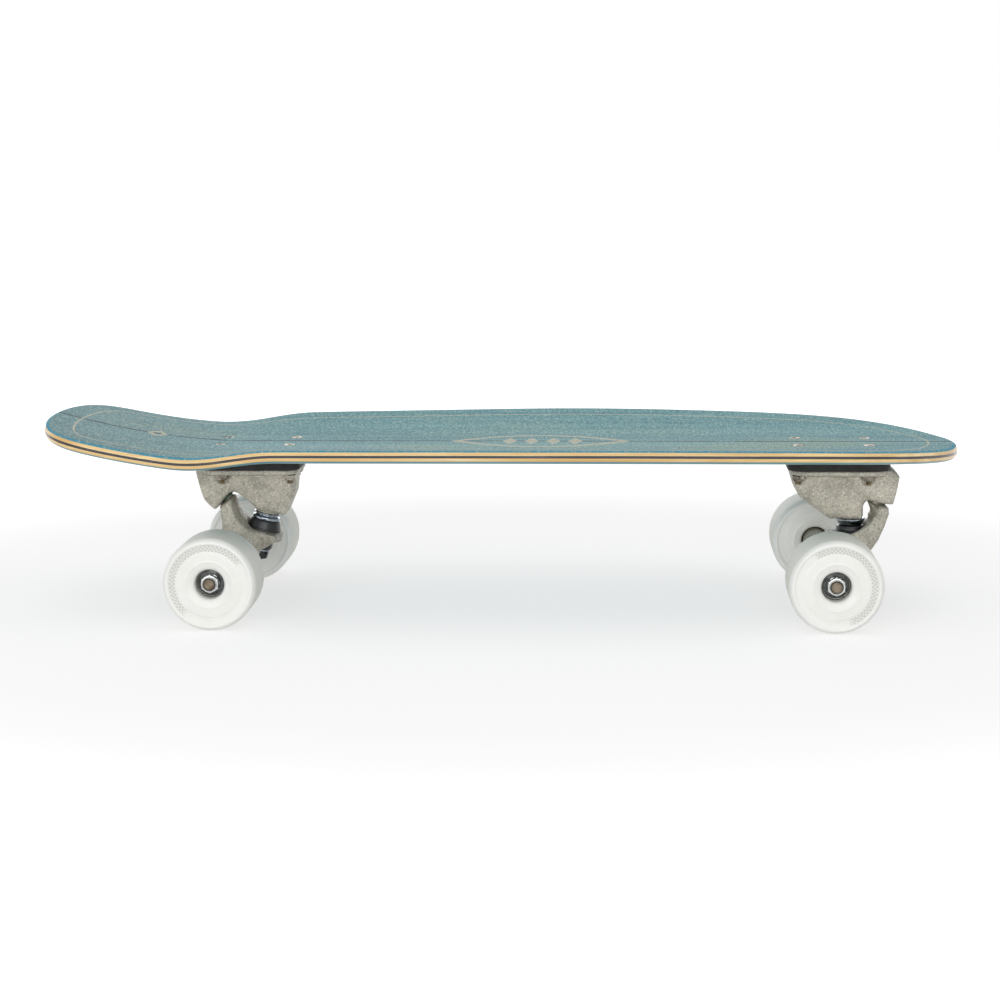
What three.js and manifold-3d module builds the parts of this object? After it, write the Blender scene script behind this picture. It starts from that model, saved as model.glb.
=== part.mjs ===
// Surf skateboard: a five-ply wooden deck with a kicked tail, a surf-steering front truck,
// a tail truck with a leaning kingpin, and four urethane wheels on ball bearings.
// Millimetres. +X points to the nose, +Z up, and x = 0 is the middle of the deck's length.
// The wheels stand on z = 0.

import * as THREE from "three";
import { mergeVertices } from "three/addons/utils/BufferGeometryUtils.js";
import Module from "manifold-3d";

const wasm = await Module();
wasm.setup();

const degrees = THREE.MathUtils.degToRad;

// Fits
const fit_gap = 0.3; // around a piece that turns in, slides over or is cut by another
const seat_gap = 0.05; // between faces that are stacked or glued
const cut_overrun = 2; // how far a cutter runs past the face that it opens
const merge_step = 0.001;

// Wheels and axles
const wheel_radius = 35;
const wheel_width = 48;
const wheel_track = 189; // between the middles of a pair of wheels
const wheel_sides = 24;
const tread_width = 37;
const shoulder_radius = 33.6;
const shoulder_width = 44.6;
const lip_radius = 30.6;
const band_depth = 1.1; // the band and the hub lie this far inside the lip
const hub_radius = 17.5;
const bore_lip_depth = 4;
const bearing_radius = 11;
const bearing_width = 7;
const bearing_spacing = 10;
const core_radius = 8.2;
const speed_washer = 1;
const axle_radius = 3.97;
const axle_length = 236;
const axle_chamfer = 0.6;
const axle_nut_width = 12.7;
const axle_nut_height = 8;
const round_sides = 16;
const small_sides = 12;

// Deck
const deck_length = 704;
const deck_half_width = 127.9;
const half_width_shares = [0.655, 0.783, 0.869, 0.941, 0.992, 0.991, 0.916, 0.746, 0.415];
const deck_rows = 20;
const face_ply = 1.5;
const core_ply = 2.7;
const dark_ply = 1.2;
const flat_half_width = 31; // the middle strip that carries the trucks
const flat_share = 0.5; // most of the half width that the strip takes near the ends
const concave_rise = 11;
const concave_power = 1.5;
const concave_end_x = -243.3; // the edges lie level with the middle behind this
const concave_fade = 81;
const kick_start_x = -202.3;
const kick_rise = 23.5;
const kick_power = 1.8;

// Trucks and risers
const wheelbase = 463;
const axle_shift = 19.7; // the axles' middle lies this far ahead of the deck's middle
const truck_height = 72.5; // from the axle's centre line to the baseplate's top
const riser_thickness = 9.5;
const riser_width = 62;
const flange_width = 58;
const flange_thickness = 4;
const flange_corner = 12;
const body_top_half_width = 21.5;
const body_seat_half_width = 12;
const body_end_share = 0.5; // the body's ends are this much of its full width
const body_corner_share = 0.18;
const boss_radius = 9.6;
const boss_length = 14;
const kingpin_head_seat = 27; // from the ring's centre up to the head's seat

// Mounting bolts
const bolt_spacing_x = 53.98;
const bolt_spacing_y = 41.28;
const bolt_radius = 2.4;
const bolt_head_radius = 4.6;
const bolt_head_depth = 2.6;
const bolt_head_rim = 0.4;
const bolt_socket_width = 3;
const bolt_socket_depth = 1.8;
const bolt_tail = 2.6; // thread left under the nut
const bolt_nut_width = 9.5;
const bolt_nut_height = 4.4;
const nut_pocket_radius = 6.8;
const nut_pocket_depth = 8;

// Kingpin stack
const kingpin_radius = 4.76;
const kingpin_head_width = 14.3;
const kingpin_head_height = 6;
const kingpin_head_clearance = 1.4;
const kingpin_tail = 1.4; // thread left under the nut
const kingpin_nut_width = 14;
const kingpin_nut_height = 6;
const ring_radius = 15.4;
const ring_thickness = 7;
const ring_hole_radius = 7;
const bushing_bore_gap = 0.3;
const upper_bushing_base_radius = 13.6;
const lower_bushing_base_radius = 9.8;
const lower_bushing_tip_radius = 9;
const lower_bushing_height = 8;
const lower_washer_radius = 8.4;
const lower_washer_height = 1.6;
const stack_clearance = 1.1;
const rim_drop = 0.8;

// Pivot
const nose_radius = 4.9;
const nose_length = 6.5;
const nose_tip_radius = 3;
const nose_tip_length = 1.8;
const nose_root = 6; // length of the nose's root inside the arm
const cup_wall = 1.5;
const cup_floor = 1.6;

// Hanger
const hanger_end_radius = 9;
const hanger_collar_radius = 9.8;
const hanger_collar_length = 5;
const hanger_core_half_width = 24;
const wing_half_span = 62;
const wing_thickness = 11;
const pocket_stretch = 1.5; // the nut swings sideways with the hanger

// The front truck: an upright kingpin between the axle and the pivot.
const front = {
  name: "front",
  axle_x: axle_shift + wheelbase / 2,
  turn: 0,
  ring_reach: 20.4, // from the axle's line towards the pivot
  ring_rise: 17,
  steer_angle: 55,
  kingpin_lean: 0,
  pivot_reach: 36.6, // from the ring's centre to the cup's mouth
  bolt_offset: 4.9,
  flange_offset: 8.9,
  flange_length: 73.7,
  riser_margin: 3,
  body_start: -29.2,
  body_length: 85.7,
  body_shares: [
    [0, 1], [0.023, 0.852], [0.055, 0.634], [0.107, 0.435], [0.226, 0.237], [0.343, 0.051],
    [0.387, 0.002], [0.67, 0.002], [0.672, 0.24], [0.694, 0.375], [0.726, 0.43],
    [0.75, 0.418], [0.863, 0.307], [0.93, 0.29], [0.949, 0.297], [0.98, 0.576],
    [1, 0.837], [0.978, 0.91], [0.925, 1],
  ],
  arm_shares: [
    [0.85, -0.17], [0.975, 0.21], [0.962, 0.284], [0.885, 0.344], [0.618, 0.42],
    [0.303, 0.47], [0, 0.46], [-0.336, 0.42], [-0.628, 0.29], [-0.85, 0.05], [-0.937, -0.29],
    [-0.669, -0.478], [-0.32, -0.456], [-0.158, -0.388], [0.1, -0.1], [0.307, 0.27],
    [0.475, 0.154], [0.614, 0.024], [0.694, 0.027], [0.747, -0.02], [0.8, -0.11],
  ],
  width_shares: [[-1.1, 0.65], [-0.33, 0.5], [0.22, 0.41], [0.6, 0.31], [1.05, 0.265]],
  hanger_middle_radius: 10.5,
  wing_rise_share: 0.75,
  upper_bushing_height: 6,
  upper_bushing_tip_radius: 10.6,
  upper_washer_height: 6,
  upper_washer_top_radius: 11.4,
  upper_washer_bottom_radius: 8.8,
};

// The rear truck: turned round, with its kingpin leaning on the inner side of the axle.
const rear = {
  name: "rear",
  axle_x: axle_shift - wheelbase / 2,
  turn: 180,
  ring_reach: -22.6,
  ring_rise: 18.3,
  steer_angle: 46,
  kingpin_lean: -13,
  pivot_reach: 40,
  bolt_offset: -21.2,
  flange_offset: -17.3,
  flange_length: 75.2,
  riser_margin: 2,
  body_start: -52,
  body_length: 79.4,
  body_shares: [
    [0, 1], [0.003, 0.777], [0.018, 0.47], [0.054, 0.291], [0.102, 0.046], [0.119, -0.008],
    [0.151, -0.045], [0.41, 0.087], [0.444, 0.188], [0.505, 0.313], [0.568, 0.435],
    [0.625, 0.487], [0.666, 0.462], [0.701, 0.4], [0.776, 0.201], [0.806, 0.114], [0.828, 0.092],
    [0.883, 0.201], [0.927, 0.31], [0.95, 0.454], [1, 0.894], [0.985, 1],
  ],
  arm_shares: [
    [0.93, -0.2], [0.975, 0.187], [0.887, 0.26], [0.72, 0.377], [0.65, 0.44],
    [0.345, 0.835], [-0.05, 0.97], [-0.24, 0.74], [-0.25, 0.42], [-0.22, 0.15],
    [-0.3, -0.2], [-0.1, -0.3], [0.1, -0.05], [0.36, 0], [0.43, 0], [0.557, 0.008],
    [0.73, -0.05], [0.927, -0.155],
  ],
  width_shares: [[-0.45, 0.45], [0.1, 0.45], [0.4, 0.37], [0.7, 0.28], [1.05, 0.25]],
  hanger_middle_radius: 11,
  wing_rise_share: 0.6,
  upper_bushing_height: 8.4,
  upper_bushing_tip_radius: 10.9,
  upper_washer_height: 5.4,
  upper_washer_top_radius: 10.2,
  upper_washer_bottom_radius: 10.8,
};

// Sizes that follow from the ones above
const wheel_y = wheel_track / 2;
const bearing_inner_y = bearing_spacing / 2;
const bearing_outer_y = bearing_inner_y + bearing_width;
const nut_face_y = bearing_outer_y + speed_washer + fit_gap;
const hanger_half = wheel_y - nut_face_y;
const axle_bore = fitted(axle_radius, fit_gap, small_sides);
const deck_thickness = 2 * face_ply + 2 * core_ply + dark_ply + 4 * seat_gap;
const flange_top = wheel_radius + truck_height;
const deck_bottom = flange_top + seat_gap + riser_thickness + seat_gap;
const deck_top = deck_bottom + deck_thickness;
const ring_face = ring_thickness / 2;
const upper_bushing_base = ring_face + seat_gap;
const lower_washer_top = ring_face + 2 * seat_gap + lower_bushing_height;
const kingpin_nut_top = lower_washer_top + seat_gap + lower_washer_height;
const kingpin_end = kingpin_nut_top + seat_gap + kingpin_nut_height + kingpin_tail;
const cup_radius = fitted(nose_radius, fit_gap, small_sides) + cup_wall;
const cup_length = nose_length + fit_gap + cup_floor;
const bolt_length = deck_top - (flange_top - flange_thickness - bolt_nut_height - bolt_tail);

// Materials
function finish(color, roughness, metalness) {
  return new THREE.MeshStandardMaterial({ color, roughness, metalness });
}
const stained_ply = finish(0x4f97ab, 0.55, 0);
const maple = finish(0xdcb67c, 0.6, 0);
const smoked_maple = finish(0x4d4a4b, 0.6, 0);
const teal_ply = finish(0x5f9aa4, 0.5, 0);
const riser_rubber = finish(0x26262a, 0.8, 0);
const cast_aluminium = finish(0xa39d92, 0.55, 0.9);
const urethane = finish(0xecece6, 0.35, 0);
const bearing_steel = finish(0x6d7072, 0.35, 1);
const zinc = finish(0xb9bbbb, 0.3, 1);
const brown_steel = finish(0x82786c, 0.5, 0.9);
const chrome = finish(0xd0d4d8, 0.12, 1);
const bushing_rubber = finish(0x1d1e20, 0.6, 0);
const cup_urethane = finish(0x1f4a33, 0.6, 0);

// Radius of a many-sided hole whose flats clear a round piece by the given gap.
function fitted(radius, gap, sides) {
  return (radius + gap) / Math.cos(Math.PI / sides);
}

// A closed solid from a geometry, with its shared corners merged.
function solid(geometry) {
  const plain = new THREE.BufferGeometry();
  const loose = geometry.index ? geometry.toNonIndexed() : geometry;
  plain.setAttribute("position", loose.getAttribute("position"));
  const merged = mergeVertices(plain, merge_step);
  return new wasm.Manifold(
    new wasm.Mesh({
      numProp: 3,
      vertProperties: merged.attributes.position.array,
      triVerts: new Uint32Array(merged.index.array),
    }),
  );
}

function geometryOf(body) {
  const { vertProperties, triVerts } = body.getMesh();
  const geometry = new THREE.BufferGeometry();
  geometry.setAttribute("position", new THREE.BufferAttribute(vertProperties, 3));
  geometry.setIndex(new THREE.BufferAttribute(triVerts, 1));
  return geometry;
}

function add_mesh(group, name, shape, material) {
  const geometry = shape.isBufferGeometry ? shape : geometryOf(shape);
  const mesh = new THREE.Mesh(geometry, material);
  mesh.name = name;
  group.add(mesh);
  return mesh;
}

// A round piece about +Z. Each profile point is [radius, height], from the bottom up.
function turned(profile, sides) {
  const points = profile.map(([radius, height]) => new THREE.Vector2(radius, height));
  return new THREE.LatheGeometry(points, sides).rotateX(Math.PI / 2);
}

function rod(radius, bottom, top, sides) {
  return turned([[0, bottom], [radius, bottom], [radius, top], [0, top]], sides);
}

// A ring about +Z with straight bore and any outer profile, from the bottom up.
function sleeve(bore, outer, sides) {
  const bottom = outer[0][1];
  const top = outer[outer.length - 1][1];
  return turned([[bore, bottom], ...outer, [bore, top], [bore, bottom]], sides);
}

function hexagon(width) {
  const corner = width / 2 / Math.cos(Math.PI / 6);
  const shape = new THREE.Shape();
  for (let side = 0; side < 6; side += 1) {
    const angle = (side * Math.PI) / 3;
    const x = corner * Math.cos(angle);
    const y = corner * Math.sin(angle);
    if (side === 0) shape.moveTo(x, y);
    else shape.lineTo(x, y);
  }
  shape.closePath();
  return shape;
}

function hex_nut(width, height, bore) {
  const shape = hexagon(width);
  shape.holes.push(new THREE.Path().absarc(0, 0, bore, 0, 2 * Math.PI, true));
  return extruded(shape, height, small_sides);
}

function extruded(shape, depth, curveSegments) {
  return new THREE.ExtrudeGeometry(shape, { depth, bevelEnabled: false, curveSegments });
}

function rounded_rectangle(length, width, corner) {
  const x = length / 2 - corner;
  const y = width / 2 - corner;
  const quarter = Math.PI / 2;
  const shape = new THREE.Shape();
  shape.absarc(x, y, corner, 0, quarter);
  shape.absarc(-x, y, corner, quarter, 2 * quarter);
  shape.absarc(-x, -y, corner, 2 * quarter, 3 * quarter);
  shape.absarc(x, -y, corner, 3 * quarter, 4 * quarter);
  return shape;
}

// A plate standing in the XZ plane, centred on y = 0. Points are [x, z].
function upright_plate(points, width) {
  const shape = new THREE.Shape(points.map(([x, z]) => new THREE.Vector2(x, z)));
  return extruded(shape, width, 1)
    .rotateX(Math.PI / 2)
    .translate(0, width / 2, 0);
}

function bolt_places(offset) {
  const places = [];
  for (const x of [-bolt_spacing_x / 2, bolt_spacing_x / 2])
    for (const y of [-bolt_spacing_y / 2, bolt_spacing_y / 2]) places.push([offset + x, y]);
  return places;
}

// Deck outline: each row is where a station line crosses the deck, tail to nose.
function deck_stations() {
  const middle = deck_length / 2;
  const steps = half_width_shares.length + 1;
  const side = half_width_shares.map((share, index) => {
    const x = -middle * Math.cos(((index + 1) * Math.PI) / steps);
    return new THREE.Vector3(x, share * deck_half_width, 0);
  });
  const other = side.map((point) => new THREE.Vector3(point.x, -point.y, 0)).reverse();
  const tail = new THREE.Vector3(-middle, 0, 0);
  const nose = new THREE.Vector3(middle, 0, 0);
  const loop = new THREE.CatmullRomCurve3([tail, ...side, nose, ...other], true, "centripetal");
  const stations = [];
  for (let row = 0; row <= deck_rows; row += 1) {
    const point = loop.getPoint(row / (2 * deck_rows));
    stations.push([point.x, Math.max(point.y, 0)]);
  }
  return stations;
}

function smooth_step(value) {
  const held = THREE.MathUtils.clamp(value, 0, 1);
  return held * held * (3 - 2 * held);
}

function deck_surface(x, y) {
  const kick_length = deck_length / 2 + kick_start_x;
  const kick = Math.max(0, (kick_start_x - x) / kick_length);
  const side = Math.max(0, Math.abs(y) - flat_half_width) / (deck_half_width - flat_half_width);
  const fade = smooth_step((x - concave_end_x) / concave_fade);
  return deck_top + kick_rise * kick ** kick_power + concave_rise * side ** concave_power * fade;
}

// One ply: the deck's surface moved down, closed along its outline.
function ply_sheet(stations, depth, thickness) {
  const middle_share = 0.5;
  const rows = stations.map(([x, half]) => {
    if (half === 0) return [[x, 0]];
    const strip = Math.min(flat_half_width, half * flat_share);
    const between = strip + (half - strip) * middle_share;
    return [-half, -between, -strip, strip, between, half].map((y) => [x, y]);
  });
  const corners = [];
  const top = rows.map((row) => row.map(([x, y]) => corners.push(x, y, deck_surface(x, y) - depth)));
  const count = corners.length;
  for (let index = 0; index < count; index += 3)
    corners.push(corners[index], corners[index + 1], corners[index + 2] - thickness);
  const number = top.map((row) => row.map((length) => length / 3 - 1));
  const under = count / 3;
  const faces = [];
  const face = (a, b, c) => {
    faces.push(a, b, c);
    faces.push(a + under, c + under, b + under);
  };
  const wall = (a, b) => faces.push(a, b, a + under, b, b + under, a + under);
  for (let row = 0; row < number.length - 1; row += 1) {
    const here = number[row];
    const next = number[row + 1];
    if (here.length === 1)
      for (let k = 0; k < next.length - 1; k += 1) face(here[0], next[k], next[k + 1]);
    else if (next.length === 1)
      for (let k = 0; k < here.length - 1; k += 1) face(here[k], next[0], here[k + 1]);
    else
      for (let k = 0; k < here.length - 1; k += 1) {
        face(here[k], next[k], here[k + 1]);
        face(here[k + 1], next[k], next[k + 1]);
      }
    wall(next[0], here[0]);
    wall(here[here.length - 1], next[next.length - 1]);
  }
  const geometry = new THREE.BufferGeometry();
  geometry.setAttribute("position", new THREE.Float32BufferAttribute(corners, 3));
  geometry.setIndex(faces);
  return geometry;
}

// The hole that a mounting bolt needs, with its flared top.
function bolt_cutter() {
  const shank = fitted(bolt_radius, fit_gap, small_sides);
  const head = fitted(bolt_head_radius, fit_gap, small_sides);
  return turned(
    [
      [0, -bolt_length],
      [shank, -bolt_length],
      [shank, -bolt_head_depth - fit_gap],
      [head, -bolt_head_rim - fit_gap],
      [head, kick_rise],
      [0, kick_rise],
    ],
    small_sides,
  );
}

function add_deck(group) {
  const stations = deck_stations();
  const plies = [
    ["deck_top_ply", face_ply, stained_ply],
    ["deck_upper_core_ply", core_ply, maple],
    ["deck_dark_ply", dark_ply, smoked_maple],
    ["deck_lower_core_ply", core_ply, maple],
    ["deck_bottom_ply", face_ply, teal_ply],
  ];
  let depth = 0;
  for (const [name, thickness, material] of plies) {
    let ply = solid(ply_sheet(stations, depth, thickness));
    for (const truck of [front, rear])
      for (const [x, y] of world_bolt_places(truck))
        ply = ply.subtract(solid(bolt_cutter().translate(x, y, deck_top)));
    add_mesh(group, name, ply, material);
    depth += thickness + seat_gap;
  }
}

function facing(truck) {
  return Math.cos(degrees(truck.turn));
}

function world_bolt_places(truck) {
  return bolt_places(facing(truck) * truck.bolt_offset).map(([x, y]) => [truck.axle_x + x, y]);
}

function mounting_bolt() {
  const shape = turned(
    [
      [0, -bolt_length],
      [bolt_radius, -bolt_length],
      [bolt_radius, -bolt_head_depth],
      [bolt_head_radius, -bolt_head_rim],
      [bolt_head_radius, 0],
      [0, 0],
    ],
    small_sides,
  );
  const socket = extruded(hexagon(bolt_socket_width), bolt_socket_depth + cut_overrun, 1);
  return solid(shape).subtract(solid(socket.translate(0, 0, -bolt_socket_depth)));
}

function add_hardware(group, truck) {
  const nut_z = flange_top - flange_thickness - seat_gap - bolt_nut_height;
  const bore = fitted(bolt_radius, fit_gap, small_sides);
  world_bolt_places(truck).forEach(([x, y], index) => {
    const bolt = add_mesh(group, `${truck.name}_bolt_${index + 1}`, mounting_bolt(), brown_steel);
    bolt.position.set(x, y, deck_top);
    const shape = hex_nut(bolt_nut_width, bolt_nut_height, bore);
    const nut = add_mesh(group, `${truck.name}_bolt_nut_${index + 1}`, shape, zinc);
    nut.position.set(x, y, nut_z);
  });
}

// The pieces of a truck are placed in its own frame: the axle's middle is the origin
// and the pivot lies towards +X.
function riser_pad(truck) {
  const length = truck.flange_length + 2 * truck.riser_margin;
  const shape = rounded_rectangle(length, riser_width, flange_corner);
  let pad = solid(extruded(shape, riser_thickness, 4));
  const hole = rod(fitted(bolt_radius, fit_gap, small_sides), -cut_overrun,
    riser_thickness + cut_overrun, small_sides);
  for (const [x, y] of bolt_places(truck.bolt_offset - truck.flange_offset))
    pad = pad.subtract(solid(hole.clone().translate(x, y, 0)));
  return pad;
}

function stack_seat(truck) {
  const washer = truck.upper_washer_height;
  return upper_bushing_base + truck.upper_bushing_height + seat_gap + washer + seat_gap;
}

// Moves a piece from +Z onto the kingpin's line, with its zero at the ring's centre.
function on_kingpin(truck, geometry) {
  return geometry
    .rotateY(degrees(truck.kingpin_lean))
    .translate(truck.ring_reach, 0, truck.ring_rise);
}

// Moves a piece from +Z onto the steering line, with its zero at the ring's centre.
function on_steering(truck, geometry) {
  return geometry
    .rotateY(degrees(90 - truck.steer_angle))
    .translate(truck.ring_reach, 0, truck.ring_rise);
}

// The cast body under the flange, seen from the side, with walls that lean in downwards.
function baseplate_body(truck) {
  const seat_z = truck.ring_rise + stack_seat(truck) * Math.cos(degrees(truck.kingpin_lean));
  const depth = truck_height - seat_z;
  const side = truck.body_shares.map(([along, up]) => [
    truck.body_start + along * truck.body_length,
    seat_z + up * depth,
  ]);
  const profile = solid(upright_plate(side, 2 * body_top_half_width));
  const slope = (body_top_half_width - body_seat_half_width) / depth;
  const low_z = seat_z - boss_radius;
  const low_half = body_seat_half_width - boss_radius * slope;
  const walls = new THREE.Shape([
    new THREE.Vector2(-low_half, low_z),
    new THREE.Vector2(low_half, low_z),
    new THREE.Vector2(body_top_half_width, truck_height),
    new THREE.Vector2(-body_top_half_width, truck_height),
  ]);
  const span = truck.body_length + 2 * cut_overrun;
  const wedge = extruded(walls, span, 1)
    .rotateX(Math.PI / 2)
    .rotateZ(Math.PI / 2)
    .translate(truck.body_start - cut_overrun, 0, 0);
  const ends = [[0, body_end_share], [body_corner_share, 1], [1 - body_corner_share, 1],
    [1, body_end_share]];
  const side_line = ends.map(([along, half]) => new THREE.Vector2(
    truck.body_start + along * truck.body_length, half * body_top_half_width));
  const other_line = side_line.map(({ x, y }) => new THREE.Vector2(x, -y)).reverse();
  const plan = extruded(new THREE.Shape([...side_line, ...other_line]), truck_height, 1);
  return profile.intersect(solid(wedge)).intersect(solid(plan));
}

function baseplate(truck) {
  const seat = stack_seat(truck);
  const seat_room = ring_radius + stack_clearance;
  const flange = extruded(
    rounded_rectangle(truck.flange_length, flange_width, flange_corner),
    flange_thickness,
    4,
  ).translate(truck.flange_offset, 0, truck_height - flange_thickness);
  const boss = on_kingpin(truck, rod(boss_radius, seat, seat + boss_length, round_sides));
  let plate = baseplate_body(truck)
    .subtract(solid(on_kingpin(truck, rod(seat_room, 0, seat, round_sides))))
    .add(solid(boss))
    .add(solid(flange));
  const pocket_top = truck_height - flange_thickness;
  const hole = rod(fitted(bolt_radius, fit_gap, small_sides), pocket_top - cut_overrun,
    truck_height + cut_overrun, small_sides);
  const pocket = rod(nut_pocket_radius, pocket_top - nut_pocket_depth, pocket_top, small_sides);
  for (const [x, y] of bolt_places(truck.bolt_offset)) {
    plate = plate.subtract(solid(hole.clone().translate(x, y, 0)));
    plate = plate.subtract(solid(pocket.clone().translate(x, y, 0)));
  }
  const pin_hole = fitted(kingpin_radius, fit_gap, round_sides);
  const head_room = kingpin_head_width / 2 / Math.cos(Math.PI / 6) + kingpin_head_clearance;
  const above = truck_height + head_room;
  const cup_hole = rod(fitted(cup_radius, fit_gap, small_sides), truck.pivot_reach - nose_root,
    truck.pivot_reach + cup_length + seat_gap, small_sides);
  return plate
    .subtract(solid(on_kingpin(truck, rod(pin_hole, seat - cut_overrun, above, round_sides))))
    .subtract(solid(on_kingpin(truck, rod(head_room, kingpin_head_seat, above, round_sides))))
    .subtract(solid(on_steering(truck, cup_hole)));
}

function pivot_cup() {
  const bore = fitted(nose_radius, fit_gap, small_sides);
  const floor = nose_length + fit_gap;
  return turned(
    [
      [0, floor],
      [nose_tip_radius + fit_gap, floor],
      [bore, nose_length - nose_tip_length],
      [bore, 0],
      [cup_radius, 0],
      [cup_radius, cup_length],
      [0, cup_length],
    ],
    small_sides,
  );
}

// The upright pieces of the kingpin's stack, in the order that they are threaded on.
function kingpin(truck) {
  const shank = rod(kingpin_radius, -kingpin_end, kingpin_head_seat + cut_overrun, round_sides);
  const head = extruded(hexagon(kingpin_head_width), kingpin_head_height, 1);
  return solid(shank).add(solid(head.translate(0, 0, kingpin_head_seat + seat_gap)));
}

function upper_bushing(truck) {
  const height = truck.upper_bushing_height;
  const bore = fitted(kingpin_radius, bushing_bore_gap, round_sides);
  const outer = [
    [upper_bushing_base_radius, 0],
    [truck.upper_bushing_tip_radius, height],
  ];
  return sleeve(bore, outer, round_sides);
}

function upper_washer(truck) {
  const height = truck.upper_washer_height;
  const outer = [
    [truck.upper_washer_bottom_radius, 0],
    [Math.max(truck.upper_washer_bottom_radius, truck.upper_washer_top_radius), height - rim_drop],
    [truck.upper_washer_top_radius, height],
  ];
  return sleeve(fitted(kingpin_radius, fit_gap, round_sides), outer, round_sides);
}

function lower_bushing() {
  const outer = [
    [lower_bushing_tip_radius, 0],
    [lower_bushing_base_radius, lower_bushing_height],
  ];
  return sleeve(fitted(kingpin_radius, bushing_bore_gap, round_sides), outer, round_sides);
}

function lower_washer() {
  const outer = [
    [lower_washer_radius, 0],
    [lower_washer_radius, lower_washer_height],
  ];
  return sleeve(fitted(kingpin_radius, fit_gap, round_sides), outer, round_sides);
}

function add_stack(group, truck) {
  const line = new THREE.Group();
  line.position.set(truck.ring_reach, 0, truck.ring_rise);
  line.rotation.y = degrees(truck.kingpin_lean);
  group.add(line);
  const name = truck.name;
  const bushing_top = upper_bushing_base + truck.upper_bushing_height;
  add_mesh(line, `${name}_kingpin`, kingpin(truck), zinc);
  const bushing = add_mesh(line, `${name}_upper_bushing`, upper_bushing(truck), bushing_rubber);
  bushing.position.z = upper_bushing_base;
  const washer = add_mesh(line, `${name}_upper_washer`, upper_washer(truck), chrome);
  washer.position.z = bushing_top + seat_gap;
  const lower = add_mesh(line, `${name}_lower_bushing`, lower_bushing(), bushing_rubber);
  lower.position.z = -ring_face - seat_gap - lower_bushing_height;
  const plate = add_mesh(line, `${name}_lower_washer`, lower_washer(), chrome);
  plate.position.z = -lower_washer_top - lower_washer_height;
  const bore = fitted(kingpin_radius, fit_gap, small_sides);
  const nut_shape = hex_nut(kingpin_nut_width, kingpin_nut_height, bore);
  const nut = add_mesh(line, `${name}_kingpin_nut`, nut_shape, zinc);
  nut.position.z = -kingpin_nut_top - seat_gap - kingpin_nut_height;
  nut.rotation.z = Math.PI / 6;
}

// The arm and the boss around the ring, seen from the side, narrowing towards the pivot.
function hanger_middle(truck) {
  const angle = degrees(truck.steer_angle);
  const reach = truck.pivot_reach;
  const side = truck.arm_shares.map(([along, out]) => [
    truck.ring_reach + reach * (along * Math.cos(angle) + out * Math.sin(angle)),
    truck.ring_rise + reach * (along * Math.sin(angle) - out * Math.cos(angle)),
  ]);
  const widths = truck.width_shares.map(([along, half]) => [along * reach, half * reach]);
  const other = widths.map(([along, half]) => [along, -half]).reverse();
  const plan = new THREE.Shape(
    [...widths, ...other].map(([along, half]) => new THREE.Vector2(along, half)),
  );
  const thickness = 4 * reach;
  const mask = extruded(plan, thickness, 1)
    .translate(0, 0, -thickness / 2)
    .rotateY(-angle)
    .translate(truck.ring_reach, 0, truck.ring_rise);
  return solid(upright_plate(side, 2 * hanger_core_half_width)).intersect(solid(mask));
}

function axle_housing(truck) {
  const neck = hanger_half - hanger_collar_length;
  const profile = [
    [0, -hanger_half],
    [hanger_collar_radius, -hanger_half],
    [hanger_collar_radius, -neck],
    [hanger_end_radius, -neck + hanger_collar_length],
    [truck.hanger_middle_radius, -hanger_core_half_width],
    [truck.hanger_middle_radius, hanger_core_half_width],
    [hanger_end_radius, neck - hanger_collar_length],
    [hanger_collar_radius, neck],
    [hanger_collar_radius, hanger_half],
    [0, hanger_half],
  ];
  return turned(profile, round_sides).rotateX(-Math.PI / 2);
}

// The flat wings that brace the axle housing against the ring.
function wings(truck) {
  const rise = Math.hypot(truck.ring_reach, truck.ring_rise) * truck.wing_rise_share;
  const angle = Math.atan2(truck.ring_rise, truck.ring_reach);
  const root = hanger_core_half_width;
  const plan = new THREE.Shape([
    new THREE.Vector2(0, -wing_half_span),
    new THREE.Vector2(hanger_end_radius / 2, -wing_half_span),
    new THREE.Vector2(rise, -root),
    new THREE.Vector2(rise, root),
    new THREE.Vector2(hanger_end_radius / 2, wing_half_span),
    new THREE.Vector2(0, wing_half_span),
  ]);
  return extruded(plan, wing_thickness, 1)
    .translate(0, 0, -wing_thickness / 2)
    .rotateY(-angle);
}

// Room for the lower bushing, its washer and the kingpin's nut as the hanger swings.
function stack_pocket() {
  const wide = lower_bushing_base_radius + stack_clearance;
  const narrow = kingpin_nut_width / 2 / Math.cos(Math.PI / 6) + stack_clearance;
  const bottom = -kingpin_end - truck_height / 4;
  return turned(
    [
      [0, bottom],
      [narrow, bottom],
      [narrow, -kingpin_nut_top],
      [wide, -lower_washer_top],
      [wide, -ring_face],
      [0, -ring_face],
    ],
    round_sides,
  ).scale(1, pocket_stretch, 1);
}

function hanger(truck) {
  const nose = turned(
    [
      [0, -nose_root],
      [nose_radius, -nose_root],
      [nose_radius, nose_length - nose_tip_length],
      [nose_tip_radius, nose_length],
      [0, nose_length],
    ],
    small_sides,
  ).translate(0, 0, truck.pivot_reach);
  const above = upper_bushing_base_radius + stack_clearance;
  const stack_top = stack_seat(truck);
  const ring = rod(ring_radius, -ring_face, ring_face, round_sides);
  const room_above = rod(above, ring_face, stack_top, round_sides);
  const pin_hole = rod(ring_hole_radius, -stack_top, stack_top, round_sides);
  const bore = rod(axle_bore, -hanger_half - cut_overrun, hanger_half + cut_overrun, small_sides);
  return hanger_middle(truck)
    .add(solid(wings(truck)))
    .subtract(solid(on_kingpin(truck, room_above)))
    .subtract(solid(on_kingpin(truck, stack_pocket())))
    .add(solid(on_kingpin(truck, ring)))
    .add(solid(axle_housing(truck)).subtract(solid(on_kingpin(truck, stack_pocket()))))
    .add(solid(on_steering(truck, nose)))
    .subtract(solid(on_kingpin(truck, pin_hole)))
    .subtract(solid(bore.rotateX(-Math.PI / 2)));
}

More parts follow.
